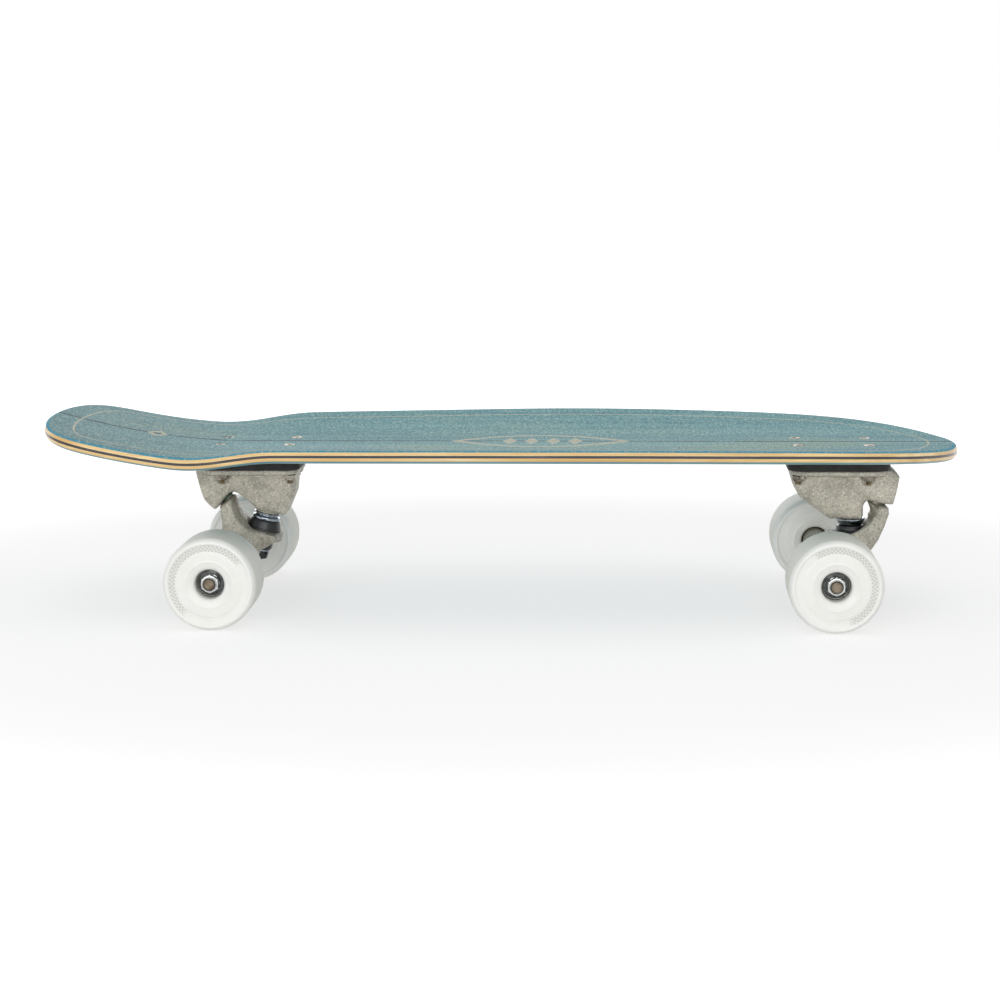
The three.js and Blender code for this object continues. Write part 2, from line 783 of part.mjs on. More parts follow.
function axle() {
  const end = axle_length / 2;
  const tip = axle_radius - axle_chamfer;
  const profile = [
    [0, -end],
    [tip, -end],
    [axle_radius, axle_chamfer - end],
    [axle_radius, end - axle_chamfer],
    [tip, end],
    [0, end],
  ];
  return turned(profile, small_sides).rotateX(Math.PI / 2);
}

// Half of a wheel's section, from the core outwards; the other half mirrors it.
function wheel() {
  const stretch = 1 / Math.cos(Math.PI / wheel_sides);
  const face = wheel_width / 2;
  const seat = fitted(bearing_radius, seat_gap, wheel_sides);
  const half = [
    [core_radius * stretch, bearing_inner_y - seat_gap],
    [seat, bearing_inner_y - seat_gap],
    [seat, face - bore_lip_depth],
    [hub_radius, face - band_depth],
    [lip_radius, face],
    [shoulder_radius * stretch, shoulder_width / 2],
    [wheel_radius * stretch, tread_width / 2],
  ];
  const mirrored = half.map(([radius, y]) => [radius, -y]);
  const loop = [...half, ...mirrored.reverse(), half[0]].reverse();
  return turned(loop, wheel_sides).rotateZ(Math.PI / wheel_sides).rotateX(Math.PI / 2);
}

function bearing() {
  const bore = fitted(axle_radius, fit_gap, round_sides);
  const outer = [
    [bearing_radius, -bearing_width / 2],
    [bearing_radius, bearing_width / 2],
  ];
  return sleeve(bore, outer, round_sides).rotateX(Math.PI / 2);
}

function add_wheels(group, truck) {
  for (const [side, label] of [[-1, "right"], [1, "left"]]) {
    const hand = side * facing(truck);
    const name = `${truck.name}_${label}`;
    const tyre = add_mesh(group, `${name}_wheel`, wheel(), urethane);
    tyre.position.y = hand * wheel_y;
    const middle = bearing_inner_y + bearing_width / 2;
    const inner = add_mesh(group, `${name}_inner_bearing`, bearing(), bearing_steel);
    inner.position.y = hand * (wheel_y - middle);
    const outer = add_mesh(group, `${name}_outer_bearing`, bearing(), bearing_steel);
    outer.position.y = hand * (wheel_y + middle);
    const bore = fitted(axle_radius, fit_gap, small_sides);
    const shape = hex_nut(axle_nut_width, axle_nut_height, bore).rotateX(-hand * Math.PI / 2);
    const nut = add_mesh(group, `${name}_axle_nut`, shape, zinc);
    nut.position.y = hand * (wheel_y + nut_face_y);
  }
}

function add_truck(group, truck) {
  const frame = new THREE.Group();
  frame.position.set(truck.axle_x, 0, wheel_radius);
  frame.rotation.z = degrees(truck.turn);
  group.add(frame);
  const pad = add_mesh(frame, `${truck.name}_riser`, riser_pad(truck), riser_rubber);
  pad.position.set(truck.flange_offset, 0, truck_height + seat_gap);
  add_mesh(frame, `${truck.name}_baseplate`, baseplate(truck), cast_aluminium);
  const cup = add_mesh(frame, `${truck.name}_pivot_cup`, pivot_cup(), cup_urethane);
  const reach = truck.pivot_reach;
  const angle = degrees(truck.steer_angle);
  cup.position.set(
    truck.ring_reach + reach * Math.cos(angle),
    0,
    truck.ring_rise + reach * Math.sin(angle),
  );
  cup.rotation.y = degrees(90) - angle;
  add_stack(frame, truck);
  add_mesh(frame, `${truck.name}_hanger`, hanger(truck), cast_aluminium);
  add_mesh(frame, `${truck.name}_axle`, axle(), brown_steel);
  add_wheels(frame, truck);
}

const skateboard = new THREE.Group();
add_deck(skateboard);
for (const truck of [front, rear]) {
  add_truck(skateboard, truck);
  add_hardware(skateboard, truck);
}

export default skateboard;
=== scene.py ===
"""Surf skateboard: a stained five-ply deck with a kicked tail, two cast trucks and four wheels.

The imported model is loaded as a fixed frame. Each operator below makes one group of pieces in its
place, in metres, with +X towards the nose and z = 0 on the ground.
"""

import bmesh
import bpy
import numpy as np
from bpy.props import FloatProperty, FloatVectorProperty, PointerProperty
from bpy.types import Operator, Panel, PropertyGroup
from mathutils import Matrix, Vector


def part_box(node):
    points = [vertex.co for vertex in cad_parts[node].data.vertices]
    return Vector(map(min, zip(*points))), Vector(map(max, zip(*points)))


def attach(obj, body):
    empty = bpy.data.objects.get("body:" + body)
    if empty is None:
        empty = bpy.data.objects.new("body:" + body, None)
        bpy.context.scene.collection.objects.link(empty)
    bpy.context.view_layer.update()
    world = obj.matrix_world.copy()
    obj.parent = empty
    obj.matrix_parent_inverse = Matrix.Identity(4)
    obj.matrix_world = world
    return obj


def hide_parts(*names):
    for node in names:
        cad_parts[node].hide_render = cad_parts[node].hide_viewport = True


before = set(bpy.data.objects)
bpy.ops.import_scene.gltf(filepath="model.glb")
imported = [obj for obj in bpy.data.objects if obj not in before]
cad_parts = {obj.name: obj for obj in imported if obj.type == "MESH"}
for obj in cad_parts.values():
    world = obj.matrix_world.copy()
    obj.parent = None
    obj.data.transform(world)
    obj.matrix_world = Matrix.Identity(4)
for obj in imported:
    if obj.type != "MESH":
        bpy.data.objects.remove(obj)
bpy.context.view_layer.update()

bl_info = {
    "name": "Surf skateboard",
    "version": (1, 0, 0),
    "blender": (4, 5, 0),
    "location": "View3D > Sidebar > Skateboard",
    "description": "Makes a surf skateboard piece by piece around its packed frame",
    "category": "Add Mesh",
}

MM = 0.001
SIDES = (("right", -1), ("left", 1))

# Sizes in millimetres. A truck is described in its own frame: the axle's middle is the origin
# and the pivot lies towards +X. Heights along a kingpin count from the middle of its ring.
WHEEL_RADIUS = 35.0
WHEEL_Y = 94.5
BEARING_Y = 8.5  # from the wheel's middle
AXLE_RADIUS = 3.97
AXLE_HALF = 118.0
AXLE_NUT_Y = WHEEL_Y + 13.4
AXLE_NUT_WIDTH = 12.7
HANGER_HALF = 81.2
RING_RADIUS = 15.4
RING_HALF = 3.5
KINGPIN_RADIUS = 4.76
KINGPIN_HOLE = 7.0  # through the hanger's ring
BUSHING_BASE = 3.55
LOWER_WASHER_TOP = 11.6  # under the ring's middle, as the next one
KINGPIN_NUT_TOP = 13.25
CUP_RADIUS = 7.0
CUP_TOP = 8.2  # past the arm's reach, along the steering line
TRUCK_HEIGHT = 72.5  # from the axle to the flange's top
FLANGE_THICKNESS = 4.0
FLANGE_HALF = 29
FLANGE_CORNER = 12  # also the corner of the riser pad
RISER_THICKNESS = 9.5
RISER_WIDTH = 62.0
BOLT_X = 53.98
BOLT_Y = 41.28
DECK_NUT_HEIGHT = 4.4
NUT_POCKET_HALF = 4.2
DECK_LENGTH = 704.0
DECK_HALF_WIDTH = 127.9
HALF_WIDTH_SHARES = (0.655, 0.783, 0.869, 0.941, 0.992, 0.991, 0.916, 0.746, 0.415)
FLAT_HALF_WIDTH = 31.0
KICK_START, KICK_RISE = -202.3, 23.5
EDGE_FADE_START, EDGE_FADE, EDGE_RISE = -243.3, 81, 11
PLIES = (  # solid, thickness, slot, finish
    ("deck_top_ply", 1.5, "stained_ply", "stained_top"),
    ("deck_upper_core_ply", 2.35, "maple", "maple_edge"),
    ("deck_dark_ply", 1.9, "smoked_maple", "dark_edge"),
    ("deck_lower_core_ply", 2.35, "maple", "maple_edge"),
    ("deck_bottom_ply", 1.5, "teal_ply", "stained_bottom"),
)
PLY_GAP = 0.05
EDGE_RADII = (4.6, 3.4)  # over and under the deck's edge
DECK_THICKNESS = sum(ply[1] for ply in PLIES) + 4 * PLY_GAP
DECK_TOP = WHEEL_RADIUS + TRUCK_HEIGHT + RISER_THICKNESS + DECK_THICKNESS + 2 * PLY_GAP
SEAM = 2e-6  # metres within which doubled points are merged

FRONT = {
    "name": "front",
    "x": 251.2,
    "turn": 1.0,
    "ring": (20.4, 17.0),
    "steer": 55.0,
    "lean": 0.0,
    "reach": 36.6,
    "bolts": 4.9,
    "flange": (8.9, 73.7),
    "riser": 79.7,
    "body": (-29.2, 85.7),
    "body_line": (
        (0, 1), (0.023, 0.852), (0.055, 0.634), (0.107, 0.435), (0.226, 0.237), (0.343, 0.051),
        (0.387, 0.002), (0.67, 0.002), (0.673, 0.24), (0.694, 0.34), (0.72, 0.377),
        (0.752, 0.37), (0.863, 0.307), (0.93, 0.29), (0.949, 0.297), (0.98, 0.576),
        (1, 0.837), (0.978, 0.91), (0.925, 1),
    ),
    "arm_line": (
        (0.975, 0.21), (0.962, 0.284), (0.885, 0.344), (0.618, 0.42), (0.303, 0.47), (0, 0.46),
        (-0.336, 0.42), (-0.628, 0.29), (-0.85, 0.05), (-0.937, -0.29), (-0.669, -0.478),
        (-0.32, -0.456), (-0.158, -0.388), (0.1, -0.1),
    ),
    "middle_end": ((0.307, 0.27), (0.475, 0.154), (0.614, 0.024), (0.694, 0.027),
                   (0.747, -0.02), (0.8, -0.11), (0.85, -0.17)),
    "cheek_end": ((0.264, 0.002), (0.428, 0.078), (0.559, 0.112), (0.678, 0.112),
                  (0.81, 0.113), (0.918, 0.068)),
    "widths": ((-1.1, 0.65), (-0.33, 0.5), (0.22, 0.41), (0.6, 0.31), (1.05, 0.265)),
    "housing": 10.5,
    "wing": 0.75,
    "room": 13.2,
    "bushing": (6.0, 10.6),
    "bushing_line": ((12.4, 0), (12.2, 1.2), (11.0, 2.6), (10.6, 3.6), (10.4, 6)),
    "washer": (6.0, 11.4, 8.8),
    "band": 28.0,
}
REAR = {
    "name": "rear",
    "x": -211.8,
    "turn": -1.0,
    "ring": (-22.6, 18.3),
    "steer": 46.0,
    "lean": -13.0,
    "reach": 40.0,
    "bolts": -21.2,
    "flange": (-17.3, 75.2),
    "riser": 79.2,
    "body": (-52.0, 79.4),
    "body_line": (
        (0, 1), (0.003, 0.777), (0.018, 0.47), (0.054, 0.291), (0.102, 0.046), (0.119, -0.008),
        (0.151, -0.045), (0.41, 0.087), (0.444, 0.188), (0.505, 0.313), (0.568, 0.435),
        (0.625, 0.487), (0.666, 0.462), (0.701, 0.4), (0.776, 0.201), (0.806, 0.114),
        (0.828, 0.092), (0.883, 0.201), (0.927, 0.31), (0.95, 0.454), (1, 0.894), (0.985, 1),
    ),
    "arm_line": (
        (0.975, 0.187), (0.887, 0.26), (0.72, 0.377), (0.65, 0.44), (0.345, 0.835),
        (-0.05, 0.97), (-0.24, 0.74), (-0.25, 0.42), (-0.22, 0.15), (-0.3, -0.2), (-0.1, -0.3),
    ),
    "middle_end": ((0.1, -0.05), (0.36, 0), (0.43, 0), (0.557, 0.008), (0.73, -0.05),
                   (0.927, -0.155), (0.93, -0.168)),
    "cheek_end": ((0.089, -0.041), (0.263, 0.042), (0.433, 0.1), (0.593, 0.099),
                  (0.718, 0.064), (0.835, -0.007), (0.939, -0.09)),
    "widths": ((-0.45, 0.45), (0.1, 0.45), (0.4, 0.37), (0.7, 0.28), (1.05, 0.25)),
    "housing": 11.0,
    "wing": 0.6,
    "room": 14.4,
    "bushing": (8.4, 10.9),
    "bushing_line": ((13.5, 0), (13.4, 1.2), (12.9, 2.2), (11.4, 7.4), (10.9, 8.4)),
    "washer": (5.4, 10.2, 10.8),
    "band": 132.0,
}
TRUCKS = (FRONT, REAR)


# Meshes


def quad_mesh(name, shape, merge=True):
    """A mesh from an array of points in metres and an array of quads. Merging joins the doubled
    points at poles and seams and turns the faces outwards."""
    points, faces = shape
    mesh = bpy.data.meshes.new(name)
    mesh.vertices.add(len(points))
    mesh.vertices.foreach_set("co", np.ascontiguousarray(points, np.float32).ravel())
    mesh.loops.add(faces.size)
    mesh.loops.foreach_set("vertex_index", np.ascontiguousarray(faces, np.int32).ravel())
    mesh.polygons.add(len(faces))
    mesh.polygons.foreach_set("loop_start", np.arange(0, faces.size, 4, dtype=np.int32))
    mesh.polygons.foreach_set("loop_total", np.full(len(faces), 4, np.int32))
    mesh.update(calc_edges=True)
    if merge:
        cleaned = bmesh.new()
        cleaned.from_mesh(mesh)
        bmesh.ops.remove_doubles(cleaned, verts=cleaned.verts, dist=SEAM)
        bmesh.ops.dissolve_degenerate(cleaned, edges=cleaned.edges, dist=SEAM / 2)
        bmesh.ops.recalc_face_normals(cleaned, faces=cleaned.faces)
        cleaned.to_mesh(mesh)
        cleaned.free()
    return mesh


def shade(mesh, crease):
    """Smooth faces, with edges sharper than the crease angle kept sharp."""
    mesh.polygons.foreach_set("use_smooth", np.ones(len(mesh.polygons), bool))
    mesh.set_sharp_from_angle(angle=np.radians(crease))


def link_object(name, data):
    holder = bpy.data.objects.new(name, data)
    bpy.context.scene.collection.objects.link(holder)
    return holder


def add_piece(name, shape, body, slot, skin, replaces=(), crease=32.0, merge=True):
    """One finished object in the frame, from a shape in metres and the name of its finish."""
    mesh = quad_mesh(name, shape, merge)
    shade(mesh, crease)
    mesh.update()
    mesh.materials.append(finish(skin))
    piece = link_object(name, mesh)
    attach(piece, body)
    if replaces:
        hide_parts(*replaces)
    return piece


def set_attribute(piece, name, values):
    """Stores one number for each point, for the piece's material."""
    stored = piece.data.attributes.new(name, "FLOAT", "POINT")
    stored.data.foreach_set("value", np.ascontiguousarray(values, np.float32))


def piece_points(piece):
    points = np.empty(len(piece.data.vertices) * 3, np.float32)
    piece.data.vertices.foreach_get("co", points)
    return points.reshape(-1, 3).T.astype(float)


def grid_faces(rows, columns, close_rows, close_columns):
    """Quads that join a grid of points, stored row by row, with either way closed on itself."""
    row = np.arange(rows if close_rows else rows - 1)[:, None]
    column = np.arange(columns if close_columns else columns - 1)[None, :]
    below, right = (row + 1) % rows * columns, (column + 1) % columns
    row = row * columns
    corners = (row + column, row + right, below + right, below + column)
    return np.stack(np.broadcast_arrays(*corners), -1).reshape(-1, 4)


def revolve(profile, sides, closed=True, radius=None):
    """A profile of [radius, height] pairs turned about +Z: x = r cos a, y = r sin a.

    A closed profile is a loop. An open one starts and ends on the axis. radius, where given,
    is a function of the angle and the profile's radii, for pieces that aren't round.
    """
    angle = np.arange(sides)[:, None] * 2 * np.pi / sides
    reach, height = (np.tile(column, (sides, 1)) for column in np.array(profile, float).T)
    if radius is not None:
        reach = radius(angle, reach)
    points = np.stack((reach * np.cos(angle), reach * np.sin(angle), height), -1)
    return points.reshape(-1, 3), grid_faces(sides, len(profile), True, closed)


def rounded(corners, radii, steps=5):
    """A line of [r, z] corners with each one replaced by an arc-like curve of its own radius.

    The curve is the quadratic one through the two points a radius away from the corner.
    """
    corners = np.asarray(corners, float)
    share = np.linspace(0, 1, steps + 1)[:, None]
    line = []
    for corner, radius, before, after in zip(corners, np.broadcast_to(radii, len(corners)),
                                             np.roll(corners, 1, 0), np.roll(corners, -1, 0)):
        sides = [other - corner for other in (before, after)]
        if radius <= 0 or not all(side.any() for side in sides):
            line.append(corner[None])
            continue
        start, end = (corner + side / np.hypot(*side) * min(radius, np.hypot(*side) * 0.49)
                      for side in sides)
        line.append((1 - share) ** 2 * start + 2 * share * (1 - share) * corner + share**2 * end)
    return np.concatenate(line)


def ring_shape(inner, outer, low, high, radius, steps, sides):
    """A ring between two radii and two heights, with its four corners rounded."""
    corners = [(inner, low), (outer, low), (outer, high), (inner, high)]
    return revolve(rounded(corners, radius, steps), sides)


def turned(first, second, degrees):
    """Places along two axes, read along the same axes turned from the first to the second."""
    cosine, sine = np.cos(np.radians(degrees)), np.sin(np.radians(degrees))
    return first * cosine + second * sine, second * cosine - first * sine


def truck_points(truck, shape):
    """A shape in a truck's own frame, in millimetres, moved into the frame in metres."""
    points, faces = shape
    x, y, z = points.T
    turn = truck["turn"]
    return np.stack((truck["x"] + turn * x, turn * y, WHEEL_RADIUS + z), -1) * MM, faces


def leaning(truck, shape, lean, rise=0.0):
    """A shape about +Z, raised along it, then leant towards +X by some degrees about the
    centre of the truck's ring. The kingpin and the steering line both lie so."""
    points, faces = shape
    x, y, z = (points + (0, 0, rise)).T
    x, z = turned(x, z, lean)
    ring_x, ring_z = truck["ring"]
    return truck_points(truck, (np.stack((x + ring_x, y, z + ring_z), -1), faces))


def on_axle(truck, shape, side, y):
    """A shape about +Z laid along the axle, with +Z outwards and its zero at the distance y."""
    points, faces = shape
    x, up, out = points.T
    return np.stack((truck["x"] + x, side * (y + out), WHEEL_RADIUS + up), -1) * MM, faces


def moved(shape, x, y, z):
    """A shape moved from the origin to a place in the frame, in metres."""
    points, faces = shape
    return (points + (x, y, z)) * MM, faces


# Cast shapes, as distances: negative inside, and zero on the surface


def soft_max(first, second, radius):
    """The larger of two distances, with the edge where they meet rounded by about the radius."""
    share = np.clip(0.5 + 0.5 * (first - second) / radius, 0, 1)
    return second + (first - second) * share + radius * share * (1 - share)


def soft_min(first, second, radius):
    """The smaller of two distances, with a fillet of about the radius where they meet."""
    return -soft_max(-first, -second, radius)


def carve(body, hole, radius):
    """A body's distance with a hole taken out of it, its edge rounded by about the radius."""
    return soft_max(body, -hole, radius)


def line_distance(x, z, corners):
    """Distance to a closed outline: to its nearest edge, negative where edges wind around."""
    nearest = np.full(np.broadcast(x, z).shape, 1e6)
    inside = np.zeros(nearest.shape, bool)
    for (ax, az), (bx, bz) in zip(corners, np.roll(corners, -1, axis=0)):
        along_x, along_z = bx - ax, bz - az
        share = ((x - ax) * along_x + (z - az) * along_z) / (along_x**2 + along_z**2 + 1e-12)
        share = np.clip(share, 0, 1)
        away = np.hypot(x - ax - share * along_x, z - az - share * along_z)
        nearest = np.minimum(nearest, away)
        crosses = (az > z) != (bz > z)
        step = along_z if abs(along_z) > 1e-9 else 1e-9
        inside ^= crosses & (x < ax + (z - az) / step * along_x)
    return np.where(inside, -nearest, nearest)


def box_distance(x, y, half_x, half_y):
    """Distance to a rectangle centred on the origin."""
    over_x, over_y = np.abs(x) - half_x, np.abs(y) - half_y
    outside = np.hypot(np.maximum(over_x, 0), np.maximum(over_y, 0))
    return outside + np.minimum(np.maximum(over_x, over_y), 0)


def pin_distance(x, y, z, base, lean, radius, bottom, top):
    """Distance to a round pin through base = (x, z), leaning towards +X by lean degrees."""
    across, along = turned(x - base[0], z - base[1], -lean)
    return np.maximum(np.hypot(across, y) - radius, np.abs(along - (bottom + top) / 2)
                      - (top - bottom) / 2)


def window(array, start, size):
    """The block of an array that begins at a corner and has a size."""
    return array[tuple(slice(first, first + length) for first, length in zip(start, size))]


def surface_net(field, low, step):
    """The closed surface where a sampled distance is zero, as points and quads.

    Each cell that the surface crosses gets one point, at the mean of the places where the
    surface cuts the cell's edges. Each cut edge of the grid gets one quad between its four cells.
    """
    inside = field < 0
    cells = np.array(field.shape) - 1
    total = np.zeros((*cells, 3), np.float32)
    count = np.zeros(cells, np.float32)
    unit = np.eye(3, dtype=int)
    origin = (0, 0, 0)
    cuts = []
    for axis in range(3):
        size = field.shape - unit[axis]
        first, second = window(field, origin, size), window(field, unit[axis], size)
        cut = window(inside, origin, size) != window(inside, unit[axis], size)
        share = np.where(cut, first / np.where(cut, first - second, 1), 0).astype(np.float32)
        cuts.append(cut)
        u, v = [other for other in range(3) if other != axis]
        for du, dv in ((0, 0), (0, 1), (1, 0), (1, 1)):
            start = du * unit[u] + dv * unit[v]
            found = window(cut, start, cells)
            total[..., axis] += window(share, start, cells)
            total[..., u] += found * du
            total[..., v] += found * dv
            count += found
    used = count > 0
    number = np.full(tuple(cells), -1, np.int64)
    number[used] = np.arange(used.sum())
    place = np.argwhere(used) + total[used] / count[used][:, None]
    quads = []
    for axis, cut in enumerate(cuts):
        u, v = unit[(axis + 1) % 3], unit[(axis + 2) % 3]
        edge = np.argwhere(window(cut, u + v, cut.shape - 2 * (u + v))) + u + v
        quad = np.stack([number[tuple((edge + du * u + dv * v).T)]
                         for du, dv in ((-1, -1), (0, -1), (0, 0), (-1, 0))], -1)
        outwards = inside[tuple(edge.T)]
        quads.append(np.where(outwards[:, None], quad, quad[:, ::-1]))
    return np.asarray(low) + place * step, np.concatenate(quads)


def cast_piece(distance, truck, low, high, step):
    """The shape that a truck's distance function describes inside a box, in the frame."""
    axes = [np.arange(a - 2 * step, b + 2.01 * step, step) for a, b in zip(low, high)]
    field = distance(truck, *np.meshgrid(*axes, indexing="ij", sparse=True))
    low = [axis[0] for axis in axes]
    return truck_points(truck, surface_net(np.asarray(field, np.float32), low, step))


def stack_seat(truck):
    """Height of the upper washer's top over the ring's centre, along the kingpin."""
    return BUSHING_BASE + truck["bushing"][0] + 2 * PLY_GAP + truck["washer"][0]


def body_seat(truck):
    return truck["ring"][1] + stack_seat(truck) * np.cos(np.radians(truck["lean"]))


def body_outline(truck):
    """The baseplate's side outline, from shares of its length and of its depth."""
    seat, (start, length) = body_seat(truck), truck["body"]
    along, up = np.array(truck["body_line"], float).T
    return np.stack((start + along * length, seat + up * (TRUCK_HEIGHT - seat)), -1)


def arm_outline(truck, end):
    """The hanger's side outline, from shares of its reach along and across the steering line."""
    angle = np.radians(truck["steer"])
    along, out = np.array(truck["arm_line"] + truck[end], float).T * truck["reach"]
    x, z = truck["ring"]
    return np.stack((x + along * np.cos(angle) + out * np.sin(angle),
                     z + along * np.sin(angle) - out * np.cos(angle)), -1)


def baseplate_distance(truck, x, y, z):
    """A cast body under a flange: the side outline, with walls that draw in downwards and in
    plan towards both ends, a boss on the kingpin, four nut pockets and a hole for the cup."""
    seat, (start, length) = body_seat(truck), truck["body"]
    flange_bottom = TRUCK_HEIGHT - FLANGE_THICKNESS
    share = np.clip((z - seat) / (TRUCK_HEIGHT - seat), -0.4, 1)
    end = np.clip(np.minimum(x - start, start + length - x) / (0.2 * length), 0, 1)
    half = (12 + 6.6 * share) * (0.8 + 0.2 * np.sqrt(1 - (1 - end) ** 2))
    offset, flange_length = truck["flange"]
    under = np.clip(flange_length / 2 - 1.0 - np.abs(x - offset), 0, 1)
    half = half - 1.4 * under * np.clip((z - TRUCK_HEIGHT + FLANGE_THICKNESS + 1.8) / 0.8, 0, 1)
    corner = np.interp(x, (start + 0.15 * length, start + 0.6 * length), (7.0, 3.0))
    body = soft_max(line_distance(x, z, body_outline(truck)), np.abs(y) - half, corner)

    def pin(lean, radius, bottom, top):
        return pin_distance(x, y, z, truck["ring"], lean, radius, bottom, top)

    washer_top = stack_seat(truck)
    body = soft_min(body, pin(truck["lean"], 9.6, washer_top, washer_top + 14), 2.0)
    plan = box_distance(x - offset, y, flange_length / 2 - FLANGE_CORNER,
                        FLANGE_HALF - FLANGE_CORNER) - FLANGE_CORNER
    slab = np.abs(z - (TRUCK_HEIGHT - FLANGE_THICKNESS / 2)) - FLANGE_THICKNESS / 2
    body = soft_min(body, soft_max(plan, slab, 0.7), 0.4)
    body = carve(body, pin(truck["lean"], RING_RADIUS + 1.1, -2, washer_top), 0.6)
    for hole_x in (-BOLT_X / 2, BOLT_X / 2):
        reach = np.hypot(x - truck["bolts"] - hole_x, np.abs(y) - BOLT_Y / 2) - 6.1
        pocket = soft_max(reach, np.abs(z - (flange_bottom - NUT_POCKET_HALF))
                          - NUT_POCKET_HALF, 2.5)
        body = carve(body, pocket, 1.6)
    mouth = pin(90 - truck["steer"], CUP_RADIUS + 0.4, truck["reach"] - 6,
                truck["reach"] + CUP_TOP + 0.4)
    return np.maximum(carve(body, mouth, 0.6), z - TRUCK_HEIGHT)


def hanger_distance(truck, x, y, z):
    """A cast arm with rounded sides, a ring on the kingpin, a housing along the axle and two
    flat wings between them, cut by the rooms for the bushings, the kingpin and its nut."""
    ring_x, ring_z = truck["ring"]
    dx, dz, wide = x - ring_x, z - ring_z, np.abs(y)
    along = turned(dx, dz, truck["steer"])[0] / truck["reach"]
    half = np.interp(along, *np.array(truck["widths"]).T) * truck["reach"]
    middle, cheeks = (
        soft_max(line_distance(x, z, arm_outline(truck, end)), wide - half, radius)
        for end, radius in (("middle_end", 10.0), ("cheek_end", 2.6))
    )
    arm = soft_min(middle, cheeks, 2.0)
    housing_radius = np.interp(wide, (0, 24, 71.2, 76.2, HANGER_HALF),
                               (truck["housing"], truck["housing"], 9, 9.6, 9.8))
    housing = np.maximum(np.hypot(x, z) - housing_radius, wide - HANGER_HALF)
    up, across = turned(x, z, np.degrees(np.arctan2(ring_z, ring_x)))
    rise = np.hypot(ring_x, ring_z) * truck["wing"]
    wing = np.array(((-1, -6), (62, -6), (62, 4.5), (24, rise), (-1, rise)))
    wings = soft_max(line_distance(wide, up, wing), np.abs(across) - 5.5, 3.0)
    cast = soft_min(soft_min(housing, wings, 5.0), arm, 5.0)
    aside, height = turned(dx, dz, -truck["lean"])
    off_pin = np.hypot(aside, y)
    wall = truck["room"] + 6 * np.clip(-aside / 8, 0, 1)
    above = np.maximum(off_pin - wall, np.abs(height - RING_HALF - 11) - 11)
    cast = carve(cast, above, 1.5)
    room = np.interp(height, (-45, -KINGPIN_NUT_TOP - 0.01, -LOWER_WASHER_TOP, -RING_HALF),
                     (9.2, 9.2, 10.9, 10.9))
    below = soft_max(np.hypot(aside, y / 1.5) - room, height + RING_HALF, 1.0)
    cast = carve(cast, below, 1.5)
    ring = soft_max(off_pin - RING_RADIUS, np.abs(height) - RING_HALF, 1.2)
    cast = soft_min(cast, ring, 1.5)
    nose = pin_distance(x, y, z, truck["ring"], 90 - truck["steer"], 4.8, truck["reach"] - 5,
                        truck["reach"] + 6)
    cast = carve(soft_min(cast, nose, 1.2), off_pin - KINGPIN_HOLE, 0.6)
    return np.maximum(cast, AXLE_RADIUS + 0.18 - np.hypot(x, z))


# Deck


def half_width(angle):
    """Half the deck's width at x = -L/2 cos(angle): a sum of sines through the chosen shares."""
    order = np.arange(1, len(HALF_WIDTH_SHARES) + 1)
    places = order * np.pi / (len(order) + 1)
    weights = np.linalg.solve(np.sin(np.outer(places, order)), HALF_WIDTH_SHARES)
    return DECK_HALF_WIDTH * np.sin(np.outer(angle, order)) @ weights


def deck_height(x, y):
    """Height of the deck's top: level, plus a power curve up the tail and one up each edge."""
    kick = np.clip((KICK_START - x) / (DECK_LENGTH / 2 + KICK_START), 0, None)
    side = np.clip(np.abs(y) - FLAT_HALF_WIDTH, 0, None) / (DECK_HALF_WIDTH - FLAT_HALF_WIDTH)
    fade = np.clip((x - EDGE_FADE_START) / EDGE_FADE, 0, 1)
    fade = fade * fade * (3 - 2 * fade)
    return DECK_TOP + KICK_RISE * kick**1.8 + EDGE_RISE * side**1.5 * fade


def deck_rim(rows):
    """The deck's outline from tail to nose on the +Y side, with its outward normals."""
    angle = np.linspace(0, np.pi, rows)
    x = -DECK_LENGTH / 2 * np.cos(angle)
    y = np.clip(half_width(angle), 0, None)
    step = 1e-4
    along_x = DECK_LENGTH / 2 * np.sin(angle)
    along_y = (half_width(angle + step) - half_width(angle - step)) / (2 * step)
    length = np.hypot(along_x, along_y)
    length[0] = length[0] if length[0] > 0 else 1
    return x, y, -along_y / length, along_x / length


def rim_inset(depth):
    """How far the deck's rounded edge lies inside the outline, at a depth under the top."""
    inset = np.zeros(np.shape(depth))
    for radius, near in zip(EDGE_RADII, (depth, DECK_THICKNESS - depth)):
        drop = np.clip(radius - near, 0, radius)
        inset += radius - np.sqrt(radius**2 - drop**2)
    return inset


def ply_grid(top, thickness, rows, columns, scale):
    """One ply as a loop carried from tail to nose: across its top, round its edge and back.

    At each row the loop's edge points lie on the rounded rim, at depths spaced as the cosine
    spaces them, and the points between are shares of the half width. Heights follow the deck's
    top, moved down by the depth.
    """
    x, y, normal_x, normal_y = deck_rim(rows)
    ends = np.clip(1 - 2 * np.array((top, top + thickness)) / DECK_THICKNESS, -1, 1)
    turns = np.arccos(ends)
    wall = DECK_THICKNESS / 2 * (1 - np.cos(np.linspace(*turns, 8)))
    inset = rim_inset(wall)
    across = np.sin(np.linspace(-np.pi / 2, np.pi / 2, columns))
    loops = []
    for share, depth, pull in (
        [(s, top, inset[0]) for s in across]
        + [(1.0, d, i) for d, i in zip(wall[1:-1], inset[1:-1])]
        + [(s, top + thickness, inset[-1]) for s in across[::-1]]
        + [(-1.0, d, i) for d, i in zip(wall[-2:0:-1], inset[-2:0:-1])]
    ):
        px = x - normal_x * pull
        py = np.clip(y - normal_y * pull, 0, None) * scale * share
        loops.append(np.stack((px, py, deck_height(px, py) - depth), -1))
    points = np.stack(loops, 1)
    return points.reshape(-1, 3), grid_faces(rows, len(loops), False, True)


